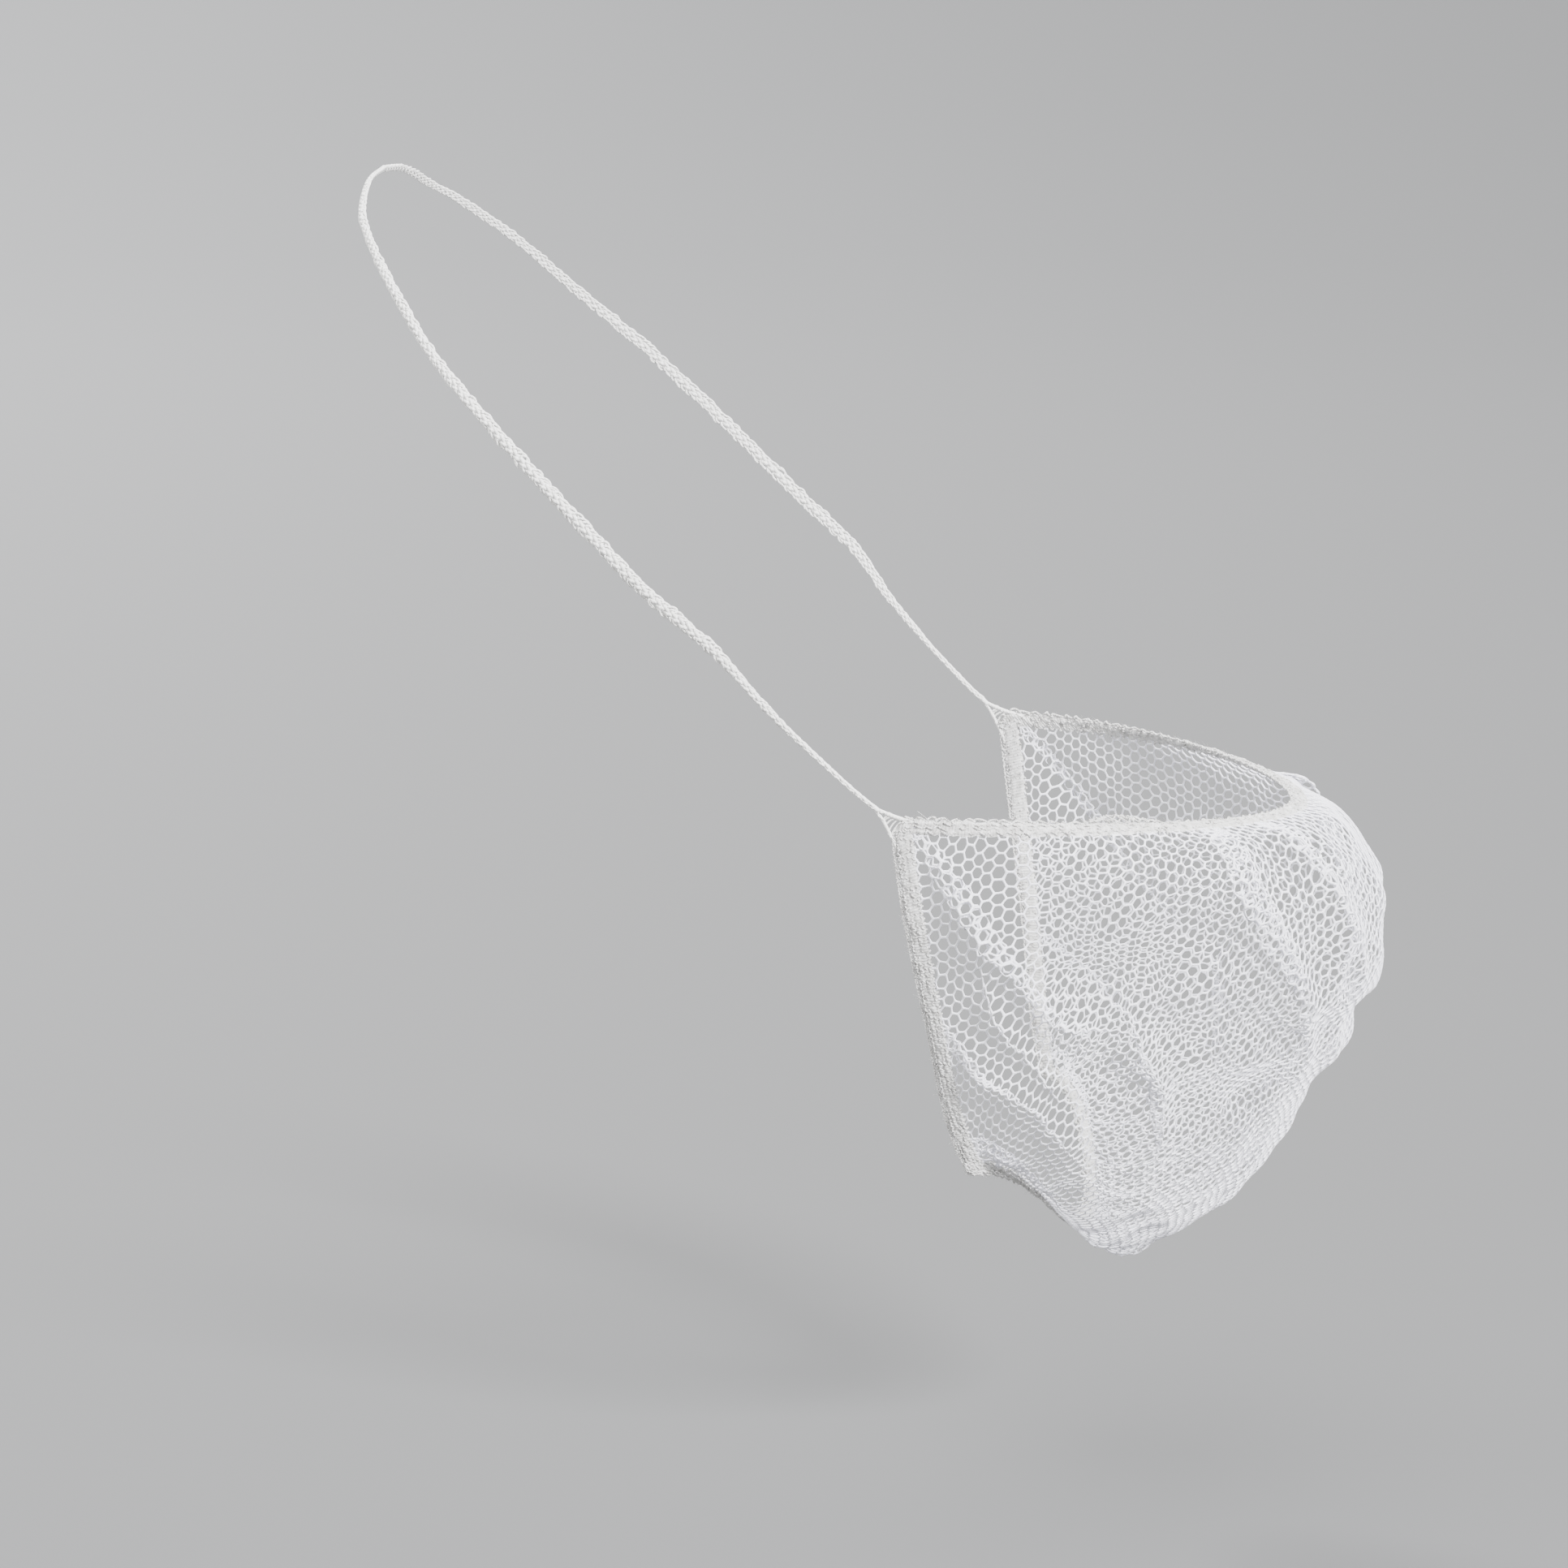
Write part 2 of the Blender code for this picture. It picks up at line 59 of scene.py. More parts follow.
# The Mix node's colour sockets share their names with its number sockets, so they are found by their place.
MIX_COLOURS = (6, 7)
MIX_RESULT = 2


class Side(Enum):
    """Which side of the wearer a piece lies on, with its sign along X."""

    RIGHT = -1
    LEFT = 1

    @property
    def word(self) -> str:
        """The side's name in small letters."""
        return self.name.lower()


# The pouch's middle line: how far down, y, z, and its cross-section's roundness, fullness and late drop.
FRONT_LINE = (
    (0.00, -0.1876, -0.1246, 1.75, 1.8, 1.6),
    (0.06, -0.1960, -0.1270, 1.85, 1.9, 1.4),
    (0.13, -0.2028, -0.1341, 1.95, 2.0, 1.2),
    (0.25, -0.2067, -0.1506, 2.05, 2.1, 1.0),
    (0.33, -0.2050, -0.1616, 2.10, 2.1, 1.0),
    (0.38, -0.2010, -0.1662, 2.10, 2.1, 1.0),
    (0.44, -0.1992, -0.1742, 2.10, 2.1, 1.0),
    (0.51, -0.1930, -0.1815, 2.05, 2.1, 1.0),
    (0.57, -0.1890, -0.1890, 2.05, 2.1, 1.0),
    (0.72, -0.1772, -0.2055, 2.00, 1.9, 1.2),
    (0.83, -0.1640, -0.2145, 1.90, 1.7, 1.5),
    (0.91, -0.1538, -0.2185, 1.90, 1.5, 2.0),
    (0.95, -0.1488, -0.2164, 1.90, 1.45, 2.2),
    (1.00, -0.1450, -0.2110, 1.90, 1.35, 2.3),
)
# The pouch's left edge: how far down, x, y and z. The right edge has the same with x turned round.
SIDE_EDGE = (
    (0.00, 0.0652, -0.1165, -0.1184),
    (0.22, 0.0645, -0.1187, -0.1355),
    (0.43, 0.0615, -0.1212, -0.1515),
    (0.62, 0.0580, -0.1235, -0.1654),
    (0.80, 0.0540, -0.1253, -0.1785),
    (0.92, 0.0506, -0.1273, -0.1874),
    (1.00, 0.0470, -0.1295, -0.1938),
)
# The head strap's left half: x, y, z and half the braid's width, from the crown's middle to the corner.
STRAP_ROUTE = (
    (0.0000, 0.0005, 0.0008, 0.0010),
    (0.0150, -0.0002, -0.0005, 0.0010),
    (0.0290, -0.0023, -0.0049, 0.0011),
    (0.0384, -0.0057, -0.0088, 0.0011),
    (0.0523, -0.0141, -0.0177, 0.0012),
    (0.0646, -0.0265, -0.0313, 0.0013),
    (0.0719, -0.0412, -0.0453, 0.0015),
    (0.0758, -0.0614, -0.0650, 0.0016),
    (0.0757, -0.0710, -0.0743, 0.0016),
    (0.0740, -0.0836, -0.0853, 0.0014),
    (0.0710, -0.0920, -0.0955, 0.0010),
    (0.0683, -0.1010, -0.1050, 0.0007),
    (0.0665, -0.1092, -0.1128, 0.0006),
    (0.0656, -0.1137, -0.1166, 0.0006),
)


def read_table(rows: tuple | list, positions: Array) -> Array:
    """Reads smooth values out of a table.

    Args:
        rows: Rows of numbers; the first column is the position.
        positions: Where to read.

    Returns:
        One row of the other columns for each position.
    """
    table = np.array(rows, dtype=float)
    knots = table[:, 0]
    values = table[:, 1:]
    slopes = np.gradient(values, knots, axis=0)
    positions = np.atleast_1d(positions)
    index = np.clip(np.searchsorted(knots, positions, side="right") - 1, 0, len(knots) - 2)
    span = (knots[index + 1] - knots[index])[:, None]
    step = (positions - knots[index])[:, None] / span
    return (
        (2 * step**3 - 3 * step**2 + 1) * values[index]
        + (step**3 - 2 * step**2 + step) * span * slopes[index]
        + (3 * step**2 - 2 * step**3) * values[index + 1]
        + (step**3 - step**2) * span * slopes[index + 1]
    )


def running_length(points: Array) -> Array:
    """Length of a line up to each of its points."""
    steps = np.linalg.norm(np.diff(points, axis=0), axis=1)
    return np.concatenate(([0.0], np.cumsum(steps)))


def read_line(line: Array, length: Array, places: Array) -> Array:
    """The rows of a line at other places along it, from the place of each row."""
    return np.stack([np.interp(places, length, part) for part in line.T], axis=1)


def unit(vectors: Array) -> Array:
    """The same vectors with length 1."""
    return vectors / np.maximum(np.linalg.norm(vectors, axis=-1, keepdims=True), TINY)


def ease(share: Array) -> Array:
    """A smooth step from 0 to 1."""
    share = np.clip(share, 0.0, 1.0)
    return share * share * (3.0 - 2.0 * share)


def read_grid(grid: Array, row: Array, column: Array, beyond: float = math.inf) -> Array:
    """Reads a grid between its points, and straight on past its edges.

    Args:
        grid: Values for each row and column.
        row: Where to read, counted in rows.
        column: Where to read, counted in columns.
        beyond: How many steps past an edge the values still change.

    Returns:
        The values there.
    """
    top = np.clip(row.astype(int), 0, grid.shape[0] - 2)
    left = np.clip(column.astype(int), 0, grid.shape[1] - 2)
    low_share = np.clip(row - top, -beyond, 1 + beyond)[..., None]
    right_share = np.clip(column - left, -beyond, 1 + beyond)[..., None]
    upper = grid[top, left] * (1 - right_share) + grid[top, left + 1] * right_share
    lower = grid[top + 1, left] * (1 - right_share) + grid[top + 1, left + 1] * right_share
    return upper * (1 - low_share) + lower * low_share


class PouchForm:
    """The curved surface that the net and the hems lie on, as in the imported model.

    A place on it has two fractions: across runs from -1 at the wearer's right edge to 1 at the left edge, and
    down runs from 0 at the upper lip to 1 at the throat.
    """

    ROWS = 141
    COLUMNS = 161
    SECTION_STEPS = 181

    def __init__(self) -> None:
        """Works out the surface's points, normals and lengths."""
        self.down = np.linspace(0.0, 1.0, self.ROWS)
        self.across = np.linspace(-1.0, 1.0, self.COLUMNS)
        front = read_table(FRONT_LINE, self.down)
        side = read_table(SIDE_EDGE, self.down)
        self.points = np.array([self._cross_section(f, s) for f, s in zip(front, side)])
        fall, along = np.gradient(self.points, axis=(0, 1))
        self.normals = unit(np.cross(fall, along))
        self.half_widths = np.array([running_length(row)[-1] / 2 for row in self.points])
        falls = np.array([running_length(self.points[:, c]) for c in range(self.COLUMNS)])
        self.drops = falls[:, -1]
        self.falls = falls.T[:, :, None]
        shares = [np.interp(self.down * drop, line, self.down) for drop, line in zip(self.drops, falls)]
        self.down_at_share = np.array(shares).T[:, :, None]

    def _cross_section(self, front: Array, side: Array) -> Array:
        """Evenly spaced points of one cross-section, from the right edge round the front to the left edge.

        Args:
            front: The middle line's y, z, roundness, fullness and late drop there.
            side: The side edge's x, y and z there.

        Returns:
            One point for each column.
        """
        front_y, front_z, roundness, fullness, late_drop = front
        side_x, side_y, side_z = side
        angle = np.linspace(0.0, math.pi / 2, self.SECTION_STEPS)
        outward = np.sin(angle) ** (2 / roundness)
        forward = np.cos(angle) ** (2 / fullness)
        y = side_y + (front_y - side_y) * forward
        z = side_z + (front_z - side_z) * forward**late_drop
        left = np.stack((side_x * outward, y, z), axis=1)
        curve = np.concatenate((left[:0:-1] * (-1, 1, 1), left))
        length = running_length(curve)
        return read_line(curve, length, np.linspace(0.0, length[-1], self.COLUMNS))

    def _read(self, grid: Array, across: Array, share: Array) -> Array:
        """Values of one of the surface's grids, at fractions across and shares of its rows."""
        return read_grid(grid, share * (self.ROWS - 1), (across + 1) / 2 * (self.COLUMNS - 1))

    def point(self, across: Array, down: Array) -> Array:
        """Points of the surface."""
        return self._read(self.points, across, down)

    def normal(self, across: Array, down: Array) -> Array:
        """Unit vectors that point out of the pouch."""
        return unit(self._read(self.normals, np.clip(across, -1, 1), np.clip(down, 0, 1)))

    def half_width(self, down: Array) -> Array:
        """Length from the middle line to either side edge."""
        return np.interp(down, self.down, self.half_widths)

    def drop(self, across: Array) -> Array:
        """Length from the upper edge down to the lower one."""
        return np.interp(across, self.across, self.drops)

    def to_edges(self, across: Array, down: Array) -> Array:
        """Lengths to the upper, the lower and the nearer side edge.

        Args:
            across: Fractions across.
            down: Fractions down.

        Returns:
            A row of lengths for each of the three edges.
        """
        fall = self._read(self.falls, across, down)[..., 0]
        side = (1 - np.abs(across)) * self.half_width(down)
        return np.stack((fall, self.drop(across) - fall, side))

    def down_after(self, across: Array, length: Array) -> Array:
        """Fraction down at which a line from the upper edge has run a length."""
        return self._read(self.down_at_share, across, length / self.drop(across))[..., 0]


class Trace(NamedTuple):
    """A fold's route on the flat net.

    Attributes:
        line: Where it starts, with a straight lead before and after it.
        overlaps: Half the width taken up at each point.
        goal: Where it ends up, without the leads.
    """

    line: Array
    overlaps: Array
    goal: Array


@dataclass(frozen=True)
class Fold:
    """A fold, a squeeze or a hollow of the net, along a route on the pouch.

    Attributes:
        name: What it is.
        width: Half width of its swell.
        height: How far its swell stands out; a negative height is a hollow.
        take_up: Share of the net beside the route that is drawn in: up to 1 squeezes the cells, and 2 lays
            three layers of net over each other.
        over: 1 or -1, for which side's net comes out on top.
        route: Its places: across and down, as fractions of the pouch, and half the width of net taken up.
    """

    name: str
    width: float
    height: float
    take_up: float
    over: int
    route: tuple[tuple[float, float, float], ...]

    STEPS = 24
    LEAD = 0.070
    LEAD_STEPS = 9
    REACH = 0.055
    BLEND = 0.0014
    TURN_RADIUS = 0.00030
    LAYER_RISE = 0.0016
    LAYER_LEAD = 0.0030
    FULL_RISE_OVERLAP = 0.0012
    END_SHARE = 0.04
    NEARNESS = 3

    def trace(self, grain: "NetGrain") -> Trace:
        """The route as if no other fold moved it.

        Args:
            grain: The net's grain.

        Returns:
            The route.
        """
        rows = [(index, *point) for index, point in enumerate(self.route)]
        fine = read_table(rows, np.linspace(0, len(self.route) - 1, self.STEPS + 1))
        line = grain.flat_place(fine[:, 0], fine[:, 1])
        lead = np.linspace(0.0, self.LEAD, self.LEAD_STEPS + 1)[1:, None]
        before = line[:1] - unit(line[1:2] - line[:1]) * lead[::-1]
        beyond = line[-1:] + unit(line[-1:] - line[-2:-1]) * lead
        overlap = np.pad(np.maximum(fine[:, 2], 0.0), self.LEAD_STEPS, mode="edge")
        return Trace(np.concatenate((before, line, beyond)), overlap, line)

    @classmethod
    def measure(cls, places: Array, line: Array) -> tuple[Array, Array, Array]:
        """Where flat places lie beside a line.

        The step along the line and the way across it are means over the whole line, in which the nearest
        part counts most, so that both change smoothly where a curved line is equally near in two places.

        Args:
            places: Flat places.
            line: The line's points.

        Returns:
            The distance to the line, negative on its right side; the step along it; and the unit vector
            across it.
        """
        starts = line[:-1]
        steps = line[1:] - starts
        lengths = (steps**2).sum(axis=1)
        apart = places[:, None] - starts[None]
        share = np.clip((apart * steps).sum(axis=2) / lengths, 0.0, 1.0)
        gaps = apart - share[..., None] * steps
        squares = (gaps**2).sum(axis=2)
        index = squares.argmin(axis=1)
        rows = np.arange(len(places))
        nearest = squares[rows, index] + cls.BLEND**2
        weights = (nearest[:, None] / (squares + cls.BLEND**2)) ** cls.NEARNESS * np.sqrt(lengths)
        weights /= weights.sum(axis=1, keepdims=True)
        position = (weights * (np.arange(len(starts)) + share)).sum(axis=1)
        tangent = unit(weights @ unit(steps))
        crossways = np.stack((-tangent[:, 1], tangent[:, 0]), axis=1)
        sign = np.sign((gaps[rows, index] * crossways).sum(axis=1))
        return sign * np.sqrt(squares[rows, index]), position, crossways

    def _beside(self, places: Array, trace: Trace) -> tuple[Array, Array, Array, Array]:
        """Where flat places lie beside the route, and what it does there.

        Args:
            places: Flat places.
            trace: The route.

        Returns:
            The distance, half the width taken up, the unit vector across, and how much the fold is felt.
        """
        apart, position, crossways = self.measure(places, trace.line)
        overlap = np.interp(position, np.arange(len(trace.line)), trace.overlaps)
        return apart, overlap, crossways, np.exp(-((apart / self.REACH) ** 2))

    def gather(self, places: Array, trace: Trace) -> tuple[Array, Array]:
        """Draws the net in along the route.

        Args:
            places: Flat places.
            trace: The route.

        Returns:
            The places after it, and how far the layers lift each of them.
        """
        apart, overlap, crossways, fade = self._beside(places, trace)
        soft = self.TURN_RADIUS
        taken = 0.5 * (np.sqrt((apart + overlap) ** 2 + soft**2) - np.sqrt((apart - overlap) ** 2 + soft**2))
        moved = places - crossways * (self.take_up * taken * fade)[:, None]
        if self.take_up <= 1.0:
            return moved, np.zeros(len(places))
        side = apart * self.over
        rising = ease((side + overlap + self.LAYER_LEAD) / self.LAYER_LEAD)
        falling = 1.0 - ease((side + overlap) / np.maximum(2.0 * overlap, soft))
        rise = self.LAYER_RISE * np.clip(overlap / self.FULL_RISE_OVERLAP, 0.0, 1.0)
        return moved, rise * np.where(side < -overlap, rising, falling)

    def push_back(self, places: Array, trace: Trace) -> Array:
        """How far out places started that the fold has drawn in, well outside its pleat.

        Args:
            places: Flat places after the fold is made.
            trace: The route.

        Returns:
            The way back of each place.
        """
        apart, overlap, crossways, fade = self._beside(places, trace)
        soft = np.tanh(apart / (3 * self.FULL_RISE_OVERLAP + overlap))
        return crossways * (self.take_up * overlap * soft * fade)[:, None]

    def swell(self, places: Array, trace: Trace) -> Array:
        """How far the fold's swell lifts folded places.

        Args:
            places: Flat places after every fold is made.
            trace: The route.

        Returns:
            The height of each place.
        """
        apart, position, _ = self.measure(places, trace.goal)
        run = self.END_SHARE + position / self.STEPS * (1 - 2 * self.END_SHARE)
        return self.height * np.sin(math.pi * run) ** 0.5 * np.exp(-((apart / self.width) ** 2))


FOLDS = (
    Fold("right_cheek", 0.0045, 0.0032, 2.0, 1, (
        (-0.95, 0.06, 0.0014), (-0.91, 0.16, 0.0023), (-0.86, 0.26, 0.0020), (-0.80, 0.35, 0.0014),
        (-0.73, 0.43, 0.0009), (-0.62, 0.45, 0.0))),
    Fold("right_jaw_crease", 0.0040, 0.0034, 2.0, -1, (
        (-0.63, 0.37, 0.0), (-0.59, 0.45, 0.0010), (-0.55, 0.50, 0.0016), (-0.52, 0.56, 0.0018),
        (-0.47, 0.67, 0.0))),
    Fold("right_lip_hollow", 0.0070, -0.0026, 0.45, 1, (
        (-0.77, 0.33, 0.0), (-0.70, 0.29, 0.0050), (-0.61, 0.26, 0.0060), (-0.52, 0.24, 0.0))),
    Fold("right_mouth", 0.0045, 0.0036, 2.0, -1, (
        (-0.37, 0.02, 0.0028), (-0.41, 0.14, 0.0030), (-0.38, 0.22, 0.0026), (-0.32, 0.31, 0.0014),
        (-0.26, 0.39, 0.0005), (-0.21, 0.46, 0.0))),
    Fold("right_lip", 0.0035, 0.0026, 2.0, -1, (
        (-0.23, 0.02, 0.0016), (-0.25, 0.09, 0.0015), (-0.22, 0.17, 0.0010), (-0.17, 0.25, 0.0004),
        (-0.13, 0.32, 0.0))),
    Fold("right_cheek_line", 0.0030, 0.0020, 1.3, 1, (
        (-0.88, 0.21, 0.0), (-0.87, 0.40, 0.0006), (-0.84, 0.49, 0.0008), (-0.77, 0.56, 0.0010),
        (-0.70, 0.61, 0.0))),
    Fold("right_jaw", 0.0035, 0.0026, 2.0, 1, (
        (-0.96, 0.56, 0.0026), (-0.90, 0.62, 0.0015), (-0.79, 0.64, 0.0006), (-0.74, 0.67, 0.0007),
        (-0.64, 0.75, 0.0))),
    Fold("right_chin_hollow", 0.0070, -0.0022, 0.40, 1, (
        (-0.52, 0.58, 0.0), (-0.38, 0.52, 0.0060), (-0.29, 0.48, 0.0060), (-0.22, 0.42, 0.0))),
    Fold("right_throat_pleat", 0.0030, 0.0012, 2.0, 1, (
        (-0.99, 0.925, 0.0026), (-0.88, 0.895, 0.0028), (-0.76, 0.89, 0.0020), (-0.62, 0.905, 0.0009),
        (-0.46, 0.93, 0.0))),
    Fold("left_cheek", 0.0045, 0.0030, 2.0, -1, (
        (0.94, 0.07, 0.0014), (0.87, 0.22, 0.0015), (0.77, 0.36, 0.0010), (0.64, 0.46, 0.0))),
    Fold("left_jaw_crease", 0.0040, 0.0032, 2.0, 1, (
        (0.60, 0.40, 0.0), (0.56, 0.52, 0.0009), (0.49, 0.67, 0.0))),
    Fold("left_lip_hollow", 0.0070, -0.0022, 0.45, 1, (
        (0.74, 0.31, 0.0), (0.62, 0.25, 0.0050), (0.50, 0.24, 0.0))),
    Fold("left_mouth", 0.0045, 0.0032, 2.0, 1, (
        (0.34, 0.02, 0.0024), (0.37, 0.14, 0.0024), (0.33, 0.25, 0.0015), (0.28, 0.35, 0.0006),
        (0.23, 0.43, 0.0))),
    Fold("left_jaw", 0.0035, 0.0026, 2.0, -1, (
        (0.95, 0.60, 0.0014), (0.82, 0.64, 0.0008), (0.67, 0.74, 0.0))),
    Fold("left_throat_pleat", 0.0030, 0.0012, 2.0, -1, (
        (0.99, 0.935, 0.0018), (0.86, 0.92, 0.0018), (0.70, 0.93, 0.0010), (0.50, 0.95, 0.0))),
)


@dataclass
class Unevenness:
    """A smooth, repeatable wander of places, as hand-fed machine net has.

    Attributes:
        seed: Start of the random draws.
        size: How far a place wanders.
        shortest: Shortest wave.
        longest: Longest wave.
        waves: How many waves are added up.
    """

    seed: int
    size: float
    shortest: float
    longest: float
    waves: int = 14

    def at(self, places: Array) -> Array:
        """The wander of each place, from about -size to size.

        Args:
            places: Places on a plane or in space.

        Returns:
            One number for each place.
        """
        draws = np.random.default_rng(self.seed)
        total = np.zeros(places.shape[:-1])
        for _ in range(self.waves):
            direction = unit(draws.normal(size=places.shape[-1]))
            length = draws.uniform(self.shortest, self.longest)
            total += np.sin(places @ direction * (TURN / length) + draws.uniform(0.0, TURN))
        return total * self.size / math.sqrt(self.waves / 2)


class NetGrain:
    """The straight grain of the net: where each place of the flat cloth lies on the smooth pouch.

    The columns of cells hang straight down the cheeks from a line half way down the pouch, and follow the
    pouch's own fall under the chin. Flat places are (sideways, downward), and are true to length along the
    columns.
    """

    MIDDLE_DOWN = 0.45
    EDGE = 1.12
    LAST_DOWN = 1.12
    COLUMNS = 361
    STEP = 0.0005
    UP_STEPS = 190
    DOWN_STEPS = 230
    NUDGE = 0.004
    SPILL = 0.2
    COARSE_COLUMNS = 6
    COARSE_ROWS = 8
    NEWTON_ROUNDS = 8
    LONGEST_MOVE = 0.004
    LEAST_SCALE = 1e-3

    def __init__(self, form: PouchForm) -> None:
        """Traces the columns.

        Args:
            form: The pouch.
        """
        self.form = form
        across = np.linspace(-self.EDGE, self.EDGE, self.COLUMNS)
        down = np.full(self.COLUMNS, self.MIDDLE_DOWN)
        sideways, downward = self._unrolled(across, down)
        above = self._run(across, down, -self.STEP, self.UP_STEPS)
        below = self._run(across, down, self.STEP, self.DOWN_STEPS)
        trail = np.concatenate((above[:0:-1], below))
        starts = np.arange(-self.UP_STEPS, self.DOWN_STEPS + 1) * self.STEP
        top = float(downward.max() + starts[0])
        rows = int((downward.min() + starts[-1] - top) / self.STEP)
        self.levels = top + np.arange(rows) * self.STEP
        columns = zip(downward, trail.transpose(1, 0, 2))
        traced = np.stack([read_line(line, first + starts, self.levels) for first, line in columns], axis=1)
        self.sideways = np.linspace(sideways[0], sideways[-1], self.COLUMNS)
        even = np.interp(self.sideways, sideways, np.arange(self.COLUMNS))
        low = np.clip(even.astype(int), 0, self.COLUMNS - 2)
        share = (even - low)[:, None]
        self.places = traced[:, low] * (1 - share) + traced[:, low + 1] * share

    def _slopes(self, across: Array, down: Array) -> tuple[Array, Array]:
        """How a point of the pouch moves as its fractions change.

        Args:
            across: Fractions across.
            down: Fractions down.

        Returns:
            Its move for a whole step across, and for a whole step down.
        """
        low = np.minimum(down, 1 - self.NUDGE)
        point = self.form.point
        along = point(across + self.NUDGE, down) - point(across - self.NUDGE, down)
        fall = point(across, low + self.NUDGE) - point(across, low - self.NUDGE)
        return along / (2 * self.NUDGE), fall / (2 * self.NUDGE)

    def _grain(self, across: Array, down: Array) -> Array:
        """The way that the columns run: plumb on the cheeks, and with the pouch's fall under the chin.

        Args:
            across: Fractions across.
            down: Fractions down.

        Returns:
            Unit vectors.
        """
        _, fall = self._slopes(np.clip(across, -1, 1), np.clip(down, self.NUDGE, 1 - self.NUDGE))
        fall = unit(fall)
        normal = self.form.normal(across, down)
        plumb = normal * normal[:, 2:] - np.array((0.0, 0.0, 1.0))
        steep = np.linalg.norm(plumb, axis=1)
        plumb = unit(plumb)
        share = ease(np.clip((plumb * fall).sum(axis=1), 0.0, 1.0)) * ease(steep**2)
        return unit(plumb * share[:, None] + fall * (1 - share)[:, None])

    def _unrolled(self, across: Array, down: Array) -> tuple[Array, Array]:
        """Flat places along the line that the columns hang from.

        Args:
            across: Fractions across.
            down: Fractions down.

        Returns:
            How far sideways and how far down each place lies.
        """
        points = self.form.point(across, down)
        grain = self._grain(across, down)
        steps = np.diff(points, axis=0)
        between = unit(grain[1:] + grain[:-1])
        drops = (steps * between).sum(axis=1)
        widths = np.sqrt(np.maximum((steps**2).sum(axis=1) - drops**2, 0.0))
        sideways = np.concatenate(([0.0], np.cumsum(widths)))
        downward = np.concatenate(([0.0], np.cumsum(drops)))
        middle = len(across) // 2
        return sideways - sideways[middle], downward - downward[middle]

    def _run(self, across: Array, down: Array, step: float, count: int) -> Array:
        """Follows every column up or down.

        Args:
            across: Fractions across where they start.
            down: Fractions down there.
            step: Length of a step, negative for up.
            count: How many steps.

        Returns:
            Fractions for each step and column.
        """
        trail = [np.stack((across, down), axis=1)]
        for _ in range(count):
            along, fall = self._slopes(across, down)
            grain = self._grain(across, down)
            wide = (along * along).sum(axis=1)
            skew = (along * fall).sum(axis=1)
            high = (fall * fall).sum(axis=1)
            by_side = (grain * along).sum(axis=1)
            by_fall = (grain * fall).sum(axis=1)
            scale = step / np.maximum(wide * high - skew * skew, TINY)
            edge = self.EDGE + self.SPILL
            across = np.clip(across + (by_side * high - by_fall * skew) * scale, -edge, edge)
            down = down + (by_fall * wide - by_side * skew) * scale
            down = np.clip(down, 1 - self.LAST_DOWN, self.LAST_DOWN)
            trail.append(np.stack((across, down), axis=1))
        return np.array(trail)

    def pouch_place(self, flat: Array) -> tuple[Array, Array]:
        """Fractions on the pouch of flat places.

        Args:
            flat: Flat places.

        Returns:
            The fractions across and down.
        """
        column = (flat[:, 0] - self.sideways[0]) / (self.sideways[1] - self.sideways[0])
        row = (flat[:, 1] - self.levels[0]) / self.STEP
        place = read_grid(self.places, row, column, 1.0)
        return place[:, 0], place[:, 1]

    def flat_place(self, across: Array, down: Array) -> Array:
        """Flat places of places on the pouch.

        Args:
            across: Fractions across.
            down: Fractions down.

        Returns:
            The flat places.
        """
        goal = np.stack((across, down), axis=1)
        coarse = self.places[:: self.COARSE_ROWS, :: self.COARSE_COLUMNS]
        squares = ((coarse - goal[:, None, None]) ** 2).sum(axis=3)
        rows, columns = np.divmod(squares.reshape(len(goal), -1).argmin(axis=1), coarse.shape[1])
        sideways = self.sideways[:: self.COARSE_COLUMNS][columns]
        flat = np.stack((sideways, self.levels[:: self.COARSE_ROWS][rows]), axis=1)
        nudge = self.STEP * 2
        for _ in range(self.NEWTON_ROUNDS):
            here = np.stack(self.pouch_place(flat), axis=1)
            by_side = (np.stack(self.pouch_place(flat + (nudge, 0)), axis=1) - here) / nudge
            by_drop = (np.stack(self.pouch_place(flat + (0, nudge)), axis=1) - here) / nudge
            error = goal - here
            scale = by_side[:, 0] * by_drop[:, 1] - by_side[:, 1] * by_drop[:, 0]
            scale = np.where(np.abs(scale) < self.LEAST_SCALE, self.LEAST_SCALE, scale)
            move_side = (error[:, 0] * by_drop[:, 1] - error[:, 1] * by_drop[:, 0]) / scale
            move_drop = (error[:, 1] * by_side[:, 0] - error[:, 0] * by_side[:, 1]) / scale
            move = np.stack((move_side, move_drop), axis=1)
            flat = flat + np.clip(move, -self.LONGEST_MOVE, self.LONGEST_MOVE)
        return flat


